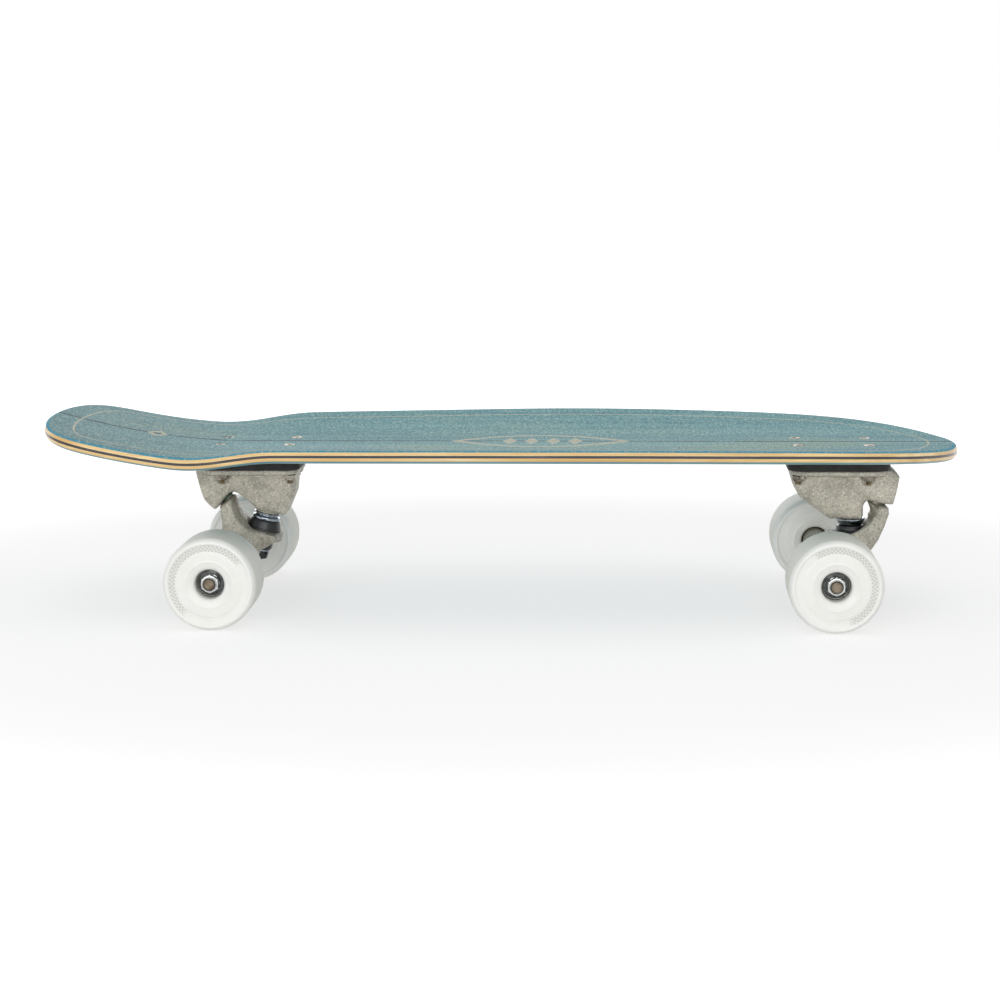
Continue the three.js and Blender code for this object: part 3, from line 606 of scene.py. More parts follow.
def rim_distance(x, y):
    """Distance in the plane from each point to the deck's outline."""
    rim = np.stack(deck_rim(500)[:2], -1)
    places = np.stack((x, np.abs(y)), -1)
    parts = np.array_split(places, max(1, len(places) // 4000))
    return np.concatenate([np.sqrt(((part[:, None] - rim) ** 2).sum(-1)).min(1)
                           for part in parts])


# Materials


class Web:
    """A short way to write a material's or a group's nodes."""

    def __init__(self, tree):
        self.tree = tree

    def feed(self, node, inputs):
        """Sets a node's inputs: sockets are linked, other values stored."""
        for key, value in inputs.items():
            if isinstance(value, bpy.types.NodeSocket):
                self.tree.links.new(value, node.inputs[key])
            else:
                node.inputs[key].default_value = value
        return node

    def add(self, kind, inputs=(), **settings):
        node = self.tree.nodes.new(kind)
        for key, value in settings.items():
            setattr(node, key, value)
        return self.feed(node, dict(inputs))

    def math(self, operation, first, second=0.0):
        return self.add("ShaderNodeMath", {0: first, 1: second}, operation=operation).outputs[0]

    def product(self, first, *others):
        for other in others:
            first = self.math("MULTIPLY", first, other)
        return first

    def absolute(self, value):
        return self.math("ABSOLUTE", value)

    def under(self, value, limit):
        return self.math("LESS_THAN", value, limit)

    def ramp(self, value, low, high, out_low=0.0, out_high=1.0, smooth=True):
        kind = "SMOOTHSTEP" if smooth else "LINEAR"
        inputs = {"Value": value, "From Min": low, "From Max": high, "To Min": out_low,
                  "To Max": out_high}
        return self.add("ShaderNodeMapRange", inputs, interpolation_type=kind).outputs[0]

    def mix(self, share, first, second):
        inputs = {0: share, 6: first, 7: second}
        return self.add("ShaderNodeMix", inputs, data_type="RGBA").outputs[2]

    def layers(self, tone, *rows):
        """Lays colours over a tone. A row has a value, the two places on it where the colour
        starts and is full, the full share, and the colour."""
        for value, start, full, share, colour in rows:
            tone = self.mix(self.ramp(value, start, full, 0.0, share), tone, colour)
        return tone

    def stretch(self, vector, scale, location=(0, 0, 0)):
        inputs = {"Vector": vector, "Scale": scale, "Location": location}
        return self.add("ShaderNodeMapping", inputs).outputs[0]

    def place(self, scale=(1, 1, 1), location=(0, 0, 0)):
        return self.stretch(self.add("ShaderNodeTexCoord").outputs["Object"], scale, location)

    def noise(self, vector, scale, detail=3.0, roughness=0.5):
        inputs = {"Vector": vector, "Scale": scale, "Detail": detail, "Roughness": roughness}
        return self.add("ShaderNodeTexNoise", inputs).outputs[0]

    def attribute(self, name):
        return self.add("ShaderNodeAttribute", attribute_name=name).outputs["Fac"]

    def group(self, name, **inputs):
        return self.add("ShaderNodeGroup", inputs, node_tree=bpy.data.node_groups[name]).outputs

    def finish(self, colour, roughness, height, bump, depth, **constants):
        """Feeds the Principled shader: varying values by link, constants on its own sockets."""
        shader = self.tree.nodes["Principled BSDF"]
        relief = self.add("ShaderNodeBump",
                          {"Height": height, "Strength": bump, "Distance": depth}).outputs[0]
        self.feed(shader, {"Base Color": colour, "Roughness": roughness, "Normal": relief})
        self.feed(shader, {key.replace("_", " "): value for key, value in constants.items()})


def srgb(red, green, blue):
    """A colour written as 0 to 255 on screen, as the linear colour that a shader takes."""
    value = np.array((red, green, blue), float) / 255
    linear = np.where(value <= 0.04045, value / 12.92, ((value + 0.055) / 1.055) ** 2.4)
    return (*linear, 1.0)


def new_group(name, inputs, outputs):
    """A node group. A socket's kind follows from its default: number, vector or colour."""
    tree = bpy.data.node_groups.new(name, "ShaderNodeTree")
    for way, sockets in (("INPUT", inputs), ("OUTPUT", outputs)):
        for label, default in sockets.items():
            kind = {1: "Float", 3: "Vector", 4: "Color"}[np.size(default)]
            socket = tree.interface.new_socket(label, in_out=way, socket_type="NodeSocket" + kind)
            socket.default_value = default
    web = Web(tree)
    return web, tree.nodes.new("NodeGroupInput").outputs, tree.nodes.new("NodeGroupOutput")


def build_groups():
    """The effects that several materials share: wood grain, cast skin, fine scratches."""
    if "wood_grain" in bpy.data.node_groups:
        return
    zero, white, black = (0, 0, 0), (1, 1, 1, 1), (0, 0, 0, 1)
    web, given, out = new_group(
        "wood_grain", {"Vector": zero, "Light": white, "Dark": black, "Pores": 0.3},
        {"Colour": black, "Height": 0.0})
    broad = web.noise(web.stretch(given["Vector"], (3.0, 60.0, 90.0)), 1.0, 4.0, 0.6)
    fine = web.noise(web.stretch(given["Vector"], (14.0, 700.0, 900.0)), 1.0, 2.0, 0.6)
    pores = web.product(web.ramp(fine, 0.52, 0.72), given["Pores"])
    mask = web.math("MAXIMUM", web.ramp(broad, 0.35, 0.68), pores)
    web.feed(out, {"Colour": web.mix(mask, given["Light"], given["Dark"]),
                   "Height": web.math("SUBTRACT", 1.0, pores)})

    web, given, out = new_group(
        "cast_skin", {"Vector": zero, "Base": white, "Dark": black, "Bright": white},
        {"Colour": black, "Roughness": 0.0, "Height": 0.0})
    cloud = web.noise(given["Vector"], 70.0, 4.0, 0.6)
    grain = web.noise(given["Vector"], 620.0, 4.0, 0.75)
    flakes = web.add("ShaderNodeTexVoronoi", {"Vector": given["Vector"],
                                              "Scale": 620.0}).outputs["Distance"]
    toned = web.layers(given["Base"], (cloud, 0.35, 0.7, 0.55, given["Dark"]),
                       (grain, 0.52, 0.66, 0.6, given["Bright"]),
                       (grain, 0.48, 0.34, 0.65, given["Dark"]))
    web.feed(out, {"Colour": toned, "Roughness": web.ramp(grain, 0.35, 0.7, 0.62, 0.42),
                   "Height": web.math("ADD", web.product(flakes, 0.5), grain)})

    web, given, out = new_group("handled", {"Vector": zero, "Clean": 0.2, "Worn": 0.5},
                                {"Roughness": 0.0, "Height": 0.0, "Mask": 0.0})
    patches = web.noise(given["Vector"], 140.0, 4.0, 0.65)
    hairs = web.noise(web.stretch(given["Vector"], (2600.0, 300.0, 600.0)), 1.0, 1.0)
    mask = web.ramp(patches, 0.4, 0.7)
    spread = web.math("SUBTRACT", given["Worn"], given["Clean"])
    web.feed(out, {"Roughness": web.math("ADD", given["Clean"], web.product(mask, spread)),
                   "Height": web.math("ADD", hairs, patches), "Mask": mask})


def new_material(name):
    """A Principled material and the web of its nodes."""
    material = bpy.data.materials.new(name)
    material.use_nodes = True
    return material, Web(material.node_tree)


def stained_top(web):
    """Blue-green stained veneer under clear grit, with a dark centre line, a cream stripe at an
    even distance from the edge, and a slim cream figure in the middle."""
    sizes = bpy.context.scene.skateboard
    place = web.place()
    along, across, _ = web.add("ShaderNodeSeparateXYZ", {0: place}).outputs
    wood = web.group("wood_grain", Vector=place, Light=(*sizes.stain, 1),
                     Dark=srgb(98, 142, 150), Pores=0.5)
    edge = web.attribute("edge")
    streaks = web.noise(web.place((2.2, 150.0, 1.0)), 1.0, 4.0, 0.65)
    drift = web.noise(web.place((5.0, 14.0, 1.0), (0.4, 0.1, 0.0)), 1.0, 3.0)
    grit = web.noise(web.place((600, 260, 600)), 1.0, 4.0, 0.78)
    tone = web.layers(
        wood["Colour"],
        (streaks, 0.45, 0.72, 0.6, srgb(148, 178, 174)),
        (streaks, 0.48, 0.3, 0.5, srgb(98, 140, 150)),
        (drift, 0.5, 0.72, 0.55, srgb(150, 172, 152)),
        # Painted light and shade, not a change in the stain: the far half bluer, the near half and
        # the tail darker, for how the light falls on them.
        (across, 0.0, 0.12, 0.4, srgb(106, 162, 170)),
        (across, -0.02, -0.11, 0.5, srgb(106, 134, 136)),
        (along, -0.17, -0.3, 0.5, srgb(112, 138, 140)),
        (grit, 0.51, 0.64, 0.6, srgb(200, 216, 210)),
        (grit, 0.49, 0.36, 0.6, srgb(66, 102, 112)),
    )
    line = web.ramp(web.absolute(across), 0.0016, 0.0023, 1.0, 0.0)
    broken = web.ramp(web.noise(web.place((60, 1, 1)), 1.0, 2.0), 0.35, 0.5, 0.55, 0.9)
    tone = web.mix(web.product(line, broken), tone, srgb(52, 56, 66))
    half = sizes.stripe_width / 2
    inset = web.absolute(web.math("SUBTRACT", edge, sizes.stripe_inset))
    stripe = web.ramp(inset, half, half + 0.0003, 1.0, 0.0)
    figure = web.math("MAXIMUM", stripe, middle_figure(web, along, across))
    rubbed = web.ramp(web.noise(place, 700.0, 3.0, 0.7), 0.35, 0.6, 0.3, 0.95)
    tone = web.mix(web.product(figure, rubbed), tone, srgb(206, 200, 176))
    # Bright blue on the rounded edge: partly the stain taken up by the rounded-over edge, partly a
    # painted highlight along it.
    rim = web.ramp(edge, 0.0030, 0.0046, 1.0, 0.0)
    broken = web.ramp(grit, 0.38, 0.62, 0.95, 0.3)
    tone = web.mix(web.product(rim, broken), tone, srgb(52, 150, 180))
    web.finish(tone, 0.72, grit, 0.5, 0.0005, Specular_IOR_Level=0.18)


def middle_figure(web, along, across):
    """A slim pointed loop on the centre line with a row of lozenges in it, as a mask.

    The loop is where |y| = h (1 - (x / l) squared). A lozenge is where |x'| / a + |y| / b < 1,
    with x' the place inside its own stretch of the row. A hollow one marks the tail.
    """
    def lozenge(x, length, width):
        return web.math("ADD", web.math("DIVIDE", x, length), web.math("DIVIDE", y, width))

    x = web.math("SUBTRACT", along, 0.0305)
    y = web.absolute(across)
    share = web.math("DIVIDE", x, 0.066)
    arch = web.product(web.math("SUBTRACT", 1.0, web.product(share, share)), 0.031)
    width = web.ramp(web.absolute(share), 0.0, 1.0, 0.0021, 0.0042, smooth=False)
    loop = web.under(web.absolute(web.math("SUBTRACT", y, arch)), width)
    loop = web.product(loop, web.under(web.absolute(share), 1.12))
    row = web.math("PINGPONG", web.math("ADD", x, 0.5), 0.0085)
    kites = web.under(lozenge(row, 0.0058, 0.0175), 1.0)
    kites = web.product(kites, web.under(web.absolute(x), 0.036))
    spot = lozenge(web.absolute(web.math("ADD", along, 0.271)), 0.0085, 0.014)
    ring = web.product(web.under(spot, 1.0), web.math("GREATER_THAN", spot, 0.45))
    return web.math("MAXIMUM", web.math("MAXIMUM", loop, kites), ring)


def ply_edge(web, light, dark, pale, gloss):
    """Cut wood: grain that runs along the board, with fine short streaks."""
    dark = srgb(*dark)
    wood = web.group("wood_grain", Vector=web.place(), Light=srgb(*light), Dark=dark, Pores=0.55)
    streaks = web.noise(web.place((9, 9, 420)), 1.0, 4.0, 0.7)
    tone = web.layers(wood["Colour"], (streaks, 0.42, 0.66, 0.65, dark),
                      (streaks, 0.44, 0.3, 0.5, srgb(*pale)))
    web.finish(tone, gloss, wood["Height"], 0.15, 0.0002, Specular_IOR_Level=0.2,
               Coat_Weight=0.8, Coat_Roughness=0.12)


def stained_bottom(web):
    """Lacquered blue-green veneer with its grain showing."""
    wood = web.group("wood_grain", Vector=web.place(), Light=srgb(104, 156, 164),
                     Dark=srgb(70, 122, 136), Pores=0.5)
    drift = web.noise(web.place((2, 14, 2)), 1.0, 3.0)
    tone = web.layers(wood["Colour"], (drift, 0.35, 0.7, 0.5, srgb(126, 168, 170)))
    web.finish(tone, 0.32, wood["Height"], 0.1, 0.0002, Coat_Weight=0.4, Coat_Roughness=0.15)


def cast_metal(web, shade):
    """Raw tumbled aluminium: mottled, finely pitted, duller in its patches."""
    # shade scales the cast colour: painted light and shade, lighter on the baseplates and darker
    # on the hangers, for how the light falls on each.
    base, dark, bright = (
        (*(np.array(tone[:3]) * shade), 1)
        for tone in (bpy.context.scene.skateboard.cast, srgb(130, 124, 114), srgb(234, 230, 222))
    )
    skin = web.group("cast_skin", Vector=web.place(), Base=base, Dark=dark, Bright=bright)
    web.finish(skin["Colour"], skin["Roughness"], skin["Height"], 0.5, 0.0006, Metallic=0.4)


def plain_metal(web, colour, dark, clean, worn, bump=0.05):
    """Machined or plated metal with faint patches and hair lines."""
    touch = web.group("handled", Vector=web.place(), Clean=clean, Worn=worn)
    tone = web.mix(touch["Mask"], srgb(*colour), srgb(*dark))
    web.finish(tone, touch["Roughness"], touch["Height"], bump, 0.0001, Metallic=1.0)


def rubber(web, colour, pale, rough, rougher):
    """Moulded rubber or urethane with a faint bloom."""
    place = web.place()
    touch = web.group("handled", Vector=place, Clean=rough, Worn=rougher)
    tone = web.mix(web.product(touch["Mask"], 0.5), srgb(*colour), srgb(*pale))
    web.finish(tone, touch["Roughness"], web.noise(place, 1200.0, 2.0), 0.2, 0.0001)


def wheel_urethane(web):
    """Milky urethane: soft inside light, a clouded tread, and a dotted band in half of the face.

    The band reads each point's place along and off the band's middle line through the axle.
    """
    place = web.place()
    across, up, out = (web.attribute(name) for name in ("across", "up", "out"))
    radius = web.math("SQRT", web.math("ADD", web.product(across, across), web.product(up, up)))
    turn = web.math("ARCTAN2", up, across)
    cloud = web.noise(place, 55.0, 4.0, 0.6)
    tread = web.ramp(radius, 0.0342, 0.0349)
    scuff = web.ramp(web.noise(place, 240.0, 4.0, 0.7), 0.4, 0.65, 0.0, 0.25)
    dots_turn = web.math("SINE", web.product(turn, 60.0))
    dots_out = web.math("SINE", web.product(radius, 2100.0))
    dots = web.ramp(web.product(dots_turn, dots_out), -0.15, 0.3)
    band = web.product(web.ramp(radius, 0.0252, 0.0256),
                       web.ramp(radius, 0.0298, 0.0303, 1.0, 0.0),
                       web.ramp(web.math("COSINE", turn), -0.2, 0.0),
                       web.ramp(out, 0.019, 0.021))
    pattern = web.product(dots, band)
    tone = web.layers((*bpy.context.scene.skateboard.urethane, 1),
                      (cloud, 0.35, 0.75, 0.35, srgb(234, 234, 228)))
    for share, colour in (
        (web.product(tread, 0.5), srgb(232, 226, 212)),
        (web.product(tread, scuff), srgb(216, 212, 202)),
        (web.product(pattern, 0.55), srgb(184, 184, 178)),
        (web.product(band, 0.3), srgb(212, 212, 206)),
    ):
        tone = web.mix(share, tone, colour)
    height = web.math("ADD", web.product(cloud, 0.15), web.product(pattern, -1.0))
    rough = web.ramp(web.math("MAXIMUM", tread, pattern), 0.0, 1.0, 0.34, 0.6)
    web.finish(tone, rough, height, 0.5, 0.0004, Subsurface_Weight=0.35,
               Subsurface_Radius=(0.006, 0.006, 0.0055), Subsurface_Scale=1.0)


FINISHES = {
    "stained_top": (stained_top,),
    "stained_bottom": (stained_bottom,),
    "milky_urethane": (wheel_urethane,),
    "maple_edge": (ply_edge, (250, 222, 164), (218, 176, 112), (255, 244, 214), 0.35),
    "dark_edge": (ply_edge, (62, 60, 60), (38, 36, 38), (116, 114, 114), 0.4),
    # One cast aluminium in two tones: painted light on the baseplates, painted shade on the
    # hangers.
    "baseplate_casting_painted_light": (cast_metal, 1.07),
    "hanger_casting_painted_shade": (cast_metal, 0.86),
    "zinc_plate": (plain_metal, (220, 222, 222), (186, 188, 186), 0.22, 0.4),
    "axle_steel": (plain_metal, (134, 122, 106), (92, 82, 70), 0.35, 0.6, 0.3),
    "brass_bolt": (plain_metal, (156, 140, 114), (96, 84, 68), 0.35, 0.6, 0.3),
    "dark_steel": (plain_metal, (158, 152, 140), (102, 94, 84), 0.3, 0.55, 0.2),
    "black_steel": (plain_metal, (58, 58, 60), (34, 34, 36), 0.3, 0.5, 0.1),
    # Chrome darker than its own colour: a painted reflection of the dark surroundings.
    "chrome_plate": (plain_metal, (150, 158, 166), (120, 128, 136), 0.06, 0.16, 0.02),
    "ring_steel": (plain_metal, (112, 112, 110), (84, 82, 78), 0.25, 0.45),
    "shield_steel": (plain_metal, (92, 95, 94), (70, 72, 72), 0.4, 0.6),
    "pad_rubber": (rubber, (23, 22, 20), (40, 38, 35), 0.6, 0.8),
    "bushing_urethane": (rubber, (24, 25, 27), (44, 45, 48), 0.3, 0.5),
    "cup_green": (rubber, (26, 70, 48), (48, 92, 68), 0.4, 0.6),
    "lock_nylon": (rubber, (70, 70, 68), (96, 96, 94), 0.4, 0.6),
}


def finish(name):
    """The named material, made on first use."""
    found = bpy.data.materials.get(name)
    if found:
        return found
    build_groups()
    material, web = new_material(name)
    make, *values = FINISHES[name]
    make(web, *values)
    return material


# Sizes and colours that a user would change


def colour_setting(name, description, red, green, blue):
    return FloatVectorProperty(name=name, description=description, subtype="COLOR", size=3,
                               min=0, max=1, default=srgb(red, green, blue)[:3])


class SkateboardSettings(PropertyGroup):
    stain: colour_setting("Stain", "Colour of the stained deck top", 126, 170, 175)
    cast: colour_setting("Cast metal", "Colour of the raw castings", 194, 189, 174)
    urethane: colour_setting("Wheels", "Colour of the wheels' urethane", 247, 247, 242)
    stripe_inset: FloatProperty(name="Stripe inset", unit="LENGTH", default=0.022,
                                description="Distance from the deck's edge to the cream stripe")
    stripe_width: FloatProperty(name="Stripe width", unit="LENGTH", default=0.0013,
                                description="Width of the cream stripe")
    cast_step: FloatProperty(name="Casting detail", unit="LENGTH", default=0.0008,
                             description="Grid step of the castings' surfaces")
    light: FloatProperty(name="Light", description="Strength of the studio lamps", default=1.0,
                         min=0.1, max=4)


# Pieces


class SKATEBOARD_OT_deck(Operator):
    """Make the five plies of the deck, with a rounded edge"""

    bl_idname = "skateboard.deck"
    bl_label = "Deck"

    def execute(self, context):
        widest = half_width(np.linspace(0, np.pi, 2001)).max()
        scale = min(1.0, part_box("deck_top_ply")[1].y / MM / widest)
        top = 0.0
        for name, thickness, slot, skin in PLIES:
            face = name == "deck_top_ply"
            rows, columns = (260, 61) if face else (160, 25)
            shape = moved(ply_grid(top, thickness, rows, columns, scale), 0, 0, 0)
            piece = add_piece(name.replace("deck_", "board_"), shape, "deck", slot, skin, (name,))
            if face:
                cut_bolt_holes(piece)
                x, y, _ = piece_points(piece) / MM
                set_attribute(piece, "edge", rim_distance(x, y) * MM)
            top += thickness + PLY_GAP
        return {"FINISHED"}


def bolt_places(truck):
    """The four places of a truck's deck bolts, in the frame."""
    middle = truck["x"] + truck["turn"] * truck["bolts"]
    return [(middle + x, y) for x in (-BOLT_X / 2, BOLT_X / 2)
            for y in (-BOLT_Y / 2, BOLT_Y / 2)]


def cut_bolt_holes(piece):
    """Cuts the flared holes of the deck bolts out of a ply: cones under short cylinders."""
    profile = [(0, -2.7), (2.7, -2.7), (4.95, -0.55), (5.0, -0.1), (5.3, 0.5), (5.3, 4), (0, 4)]
    cone = revolve(profile, 40, closed=False)
    holes = [moved(cone, x, y, DECK_TOP) for truck in TRUCKS for x, y in bolt_places(truck)]
    points = np.concatenate([hole[0] for hole in holes])
    faces = np.concatenate([hole[1] + index * len(cone[0]) for index, hole in enumerate(holes)])
    holder = link_object("bolt_holes", quad_mesh("bolt_holes", (points, faces)))
    modifier = piece.modifiers.new("bolt_holes", "BOOLEAN")
    modifier.object = holder
    modifier.operation = "DIFFERENCE"
    modifier.solver = "EXACT"
    graph = bpy.context.evaluated_depsgraph_get()
    piece.data = bpy.data.meshes.new_from_object(piece.evaluated_get(graph), depsgraph=graph)
    piece.modifiers.clear()
    bpy.data.objects.remove(holder)
    shade(piece.data, 32)


def pad_shape(length, width, corner, levels):
    """A pad about the origin with round corners. Each level has an inset and a height, and both
    ends close onto the pad's middle line."""
    angle = np.linspace(0, 2 * np.pi, 129)[:-1]
    quarter = np.floor(angle / (np.pi / 2))
    core_x = np.where((quarter == 0) | (quarter == 3), 1, -1) * (length / 2 - corner)
    core_y = np.where(quarter < 2, 1, -1) * (width / 2 - corner)
    rings = [(core_x + (corner - inset) * np.cos(angle),
              core_y + (corner - inset) * np.sin(angle), height) for inset, height in levels]
    first, last = [(core_x * 0.999, 0, levels[end][1]) for end in (0, -1)]
    points = [np.stack(np.broadcast_arrays(*ring), -1) for ring in (first, *rings, last)]
    return np.stack(points, 1).reshape(-1, 3), grid_faces(len(angle), len(points), True, False)


class SKATEBOARD_OT_risers(Operator):
    """Make the black pads between the deck and the baseplates"""

    bl_idname = "skateboard.risers"
    bl_label = "Riser pads"

    def execute(self, context):
        bottom = TRUCK_HEIGHT + PLY_GAP
        top = bottom + RISER_THICKNESS
        levels = ((1.6, bottom), (0.8, bottom + 0.5), (0.0, top - 1.2), (0.4, top))
        for truck in TRUCKS:
            points, faces = pad_shape(truck["riser"], RISER_WIDTH, FLANGE_CORNER, levels)
            shape = truck_points(truck, (points + (truck["flange"][0], 0, 0), faces))
            name = truck["name"]
            add_piece(f"{name}_riser_pad", shape, "deck", "riser_rubber", "pad_rubber",
                      (f"{name}_riser",))
        return {"FINISHED"}


class SKATEBOARD_OT_baseplates(Operator):
    """Make the two cast baseplates and their pivot cups"""

    bl_idname = "skateboard.baseplates"
    bl_label = "Baseplates and pivot cups"

    def execute(self, context):
        step = context.scene.skateboard.cast_step / MM
        cup = rounded([(0, 6.9), (3.3, 6.9), (5.3, 4.7), (5.3, -0.6), (CUP_RADIUS, -0.6),
                       (CUP_RADIUS, CUP_TOP), (0, CUP_TOP)], (0, 0.6, 0.6, 0.4, 0.4, 0.8, 0))
        for truck in TRUCKS:
            name = truck["name"]
            x, z = body_outline(truck).T
            offset, length = truck["flange"]
            low = (min(x.min(), offset - length / 2), -FLANGE_HALF, z.min() - 2)
            high = (max(x.max(), offset + length / 2), FLANGE_HALF, TRUCK_HEIGHT)
            shape = cast_piece(baseplate_distance, truck, low, high, step)
            add_piece(f"{name}_cast_baseplate", shape, "deck", "cast_aluminium",
                      "baseplate_casting_painted_light", (f"{name}_baseplate",), crease=60, merge=False)
            shape = leaning(truck, revolve(cup, 48, closed=False), 90 - truck["steer"],
                            truck["reach"])
            add_piece(f"{name}_pivot_bush", shape, "deck", "cup_urethane", "cup_green",
                      (f"{name}_pivot_cup",))
        return {"FINISHED"}


class SKATEBOARD_OT_hangers(Operator):
    """Make the two cast hangers"""

    bl_idname = "skateboard.hangers"
    bl_label = "Hangers"

    def execute(self, context):
        step = context.scene.skateboard.cast_step / MM
        for truck in TRUCKS:
            name = truck["name"]
            x, z = arm_outline(truck, "middle_end").T
            low = (min(x.min(), -12), -82, min(z.min(), -12))
            high = (max(x.max(), 12) + 6, 82, z.max() + 10)
            shape = cast_piece(hanger_distance, truck, low, high, step)
            add_piece(f"{name}_cast_hanger", shape, f"{name}_truck", "cast_aluminium",
                      "hanger_casting_painted_shade", (f"{name}_hanger",), crease=60, merge=False)
        return {"FINISHED"}


def from_flat(angle):
    """The angle from the middle of the nearest of six flats."""
    return (angle + np.pi / 6) % (np.pi / 3) - np.pi / 6


def hex_reach(width):
    """A radius for a six-sided piece: half the width over the cosine from the nearest flat."""
    def reach(angle, radii):
        flat = width / 2 / np.cos(from_flat(angle))
        return np.where(radii > width / 2 * 0.9, np.minimum(radii, flat), radii)
    return reach


def socket_reach(angle, radii):
    """A radius for a bolt whose socket, inside 1.8 mm, has six flats."""
    return np.where(radii < 1.8, radii * 0.88 / np.cos(from_flat(angle)), radii)


def nut_shape(width, height, bore, chamfer=0.7, collar=None):
    """A six-sided nut about +Z with its corners cut by a cone at both faces, and a bore.

    collar is the radius and height of a round part under the six sides.
    """
    corner = width / 2 / np.cos(np.pi / 6)
    face = width / 2 * 0.97
    foot, start = [(bore + 0.5, 0)], 0
    if collar:
        reach, start = collar
        foot += [(reach - 0.5, 0), (reach, 0.4), (reach, start)]
    profile = [*foot, (face, start), (corner - 0.1, start + chamfer),
               (corner, start + chamfer + 0.2), (corner, height - chamfer - 0.2),
               (corner - 0.1, height - chamfer), (face, height), (bore + 0.5, height),
               (bore, height - 0.5), (bore, 0.5)]
    return revolve(profile, 72, radius=hex_reach(width))


def washer_line(truck, bore, start):
    """The profile of a cup washer: a bowl that opens upwards or a bell with a drawn-in top."""
    rise, top, bottom = truck["washer"]
    end = start + rise
    if bottom < top:
        return [(bore, start), (bottom, start), (bottom + 0.8, start + rise * 0.35),
                (top - 0.2, end - 1.6), (top, end - 0.4), (top - 1.2, end), (bore, end)]
    return [(bore, start), (bottom, start), (bottom, start + rise * 0.45),
            (bottom - 1.6, start + rise * 0.55), (top - 1.6, end - 1.2), (top, end - 0.8),
            (top, end), (bore, end)]


def threaded(radius, groove, start, pitch, turns):
    """Crests and grooves of a thread, as a line of radii and heights."""
    return [(radius - groove * (index % 2), start + index * pitch) for index in range(turns)]


class SKATEBOARD_OT_stacks(Operator):
    """Make the kingpins with their bushings, cup washers and nuts"""

    bl_idname = "skateboard.stacks"
    bl_label = "Kingpins and bushings"

    def execute(self, context):
        bore, low, high = 5.2, -LOWER_WASHER_TOP, -BUSHING_BASE - 0.05
        urethane = ("bushing_rubber", "bushing_urethane")
        chrome, steel = ("chrome", "chrome_plate"), ("zinc", "black_steel")
        inner = rounded([(bore, low), (9.0, low), (9.7, -BUSHING_BASE - 1.2), (9.8, high),
                         (bore, high)], (0.3, 1.2, 1.5, 0.6, 0.3))
        flat = rounded([(5.1, low - 1.6), (8.2, low - 1.6), (8.4, low - 0.6), (8.0, low),
                        (5.1, low)], 0.5)
        end = -KINGPIN_NUT_TOP - 7.4
        pin = [(0, end), (3.9, end), *threaded(4.7, 0.28, end + 0.9, 0.5, 30),
               (KINGPIN_RADIUS, end + 16.5), (KINGPIN_RADIUS, 27), (0, 27)]
        for truck in TRUCKS:
            name, height = truck["name"], truck["bushing"][0]
            line = [(radius, BUSHING_BASE + up) for radius, up in truck["bushing_line"]]
            outer = rounded([(bore, BUSHING_BASE), *line, (bore, BUSHING_BASE + height)],
                            (0.4, 0.7, 0.6, 1.0, 1.0, 0.6, 0.4))
            line = washer_line(truck, bore, BUSHING_BASE + height + PLY_GAP)
            cup = rounded(line, (0.3, 0.8, *[1.0] * (len(line) - 4), 0.5, 0.3))
            for label, shape, skins, solid, rise in (
                ("urethane_bushing", revolve(outer, 64), urethane, "upper_bushing", 0),
                ("cup_washer", revolve(cup, 64), chrome, "upper_washer", 0),
                ("inner_bushing", revolve(inner, 64), urethane, "lower_bushing", 0),
                ("flat_washer", revolve(flat, 64), chrome, "lower_washer", 0),
                ("pin_nut", nut_shape(14.0, 6.0, 5.0), steel, "kingpin_nut",
                 -KINGPIN_NUT_TOP - 6.05),
                ("pin", revolve(pin, 40, closed=False), steel, "kingpin", 0),
            ):
                add_piece(f"{name}_{label}", leaning(truck, shape, truck["lean"], rise), "deck",
                          *skins, (f"{name}_{solid}",))
        return {"FINISHED"}


class SKATEBOARD_OT_axles(Operator):
    """Make the threaded axles, their lock nuts and the speed washers"""

    bl_idname = "skateboard.axles"
    bl_label = "Axles and nuts"

    def execute(self, context):
        half, corner = AXLE_HALF, AXLE_NUT_WIDTH / 2 / np.cos(np.pi / 6)
        line = [(AXLE_RADIUS, 0), (AXLE_RADIUS, 105),
                *threaded(AXLE_RADIUS, 0.3, 106, 0.45, 25), (3.2, half - 0.4), (2.6, half)]
        mirrored = [(radius, -y) for radius, y in line[:0:-1]]
        axle = revolve([(0, -half), *mirrored, *line, (0, half)], 40, closed=False)
        nut = revolve([(4.8, 0), (6.1, 0), (corner, 0.9), (corner, 4.9), (6.3, 5.6), (5.6, 5.7),
                       (5.4, 6.6), (5.2, 7.2), (4.95, 7.4), (4.8, 7.3), (4.75, 6.8), (4.3, 6.6),
                       (4.3, 0.5)], 72, radius=hex_reach(AXLE_NUT_WIDTH))
        ring = revolve(rounded([(4.1, 6.7), (4.7, 6.7), (4.7, 7.15), (4.1, 7.0)], 0.15, 2), 48)
        washer = ring_shape(4.25, 6.4, 0, 0.9, 0.2, 2, 48)
        zinc, nylon = ("zinc", "zinc_plate"), ("bushing_rubber", "lock_nylon")
        for truck in TRUCKS:
            body = f"{truck['name']}_truck"
            add_piece(f"{truck['name']}_steel_axle", on_axle(truck, axle, 1, 0), body,
                      "brown_steel", "axle_steel", (f"{truck['name']}_axle",))
            for label, side in SIDES:
                name = f"{truck['name']}_{label}"
                for piece, shape, y, skins, solids in (
                    ("lock_nut", nut, AXLE_NUT_Y, zinc, (f"{name}_axle_nut",)),
                    ("lock_ring", ring, AXLE_NUT_Y, nylon, ()),
                    ("outer_speed_washer", washer, WHEEL_Y + 12.15, zinc, ()),
                    ("inner_speed_washer", washer, WHEEL_Y - 13.05, zinc, ()),
                ):
                    add_piece(f"{name}_{piece}", on_axle(truck, shape, side, y), body, *skins,
                              solids)
        return {"FINISHED"}


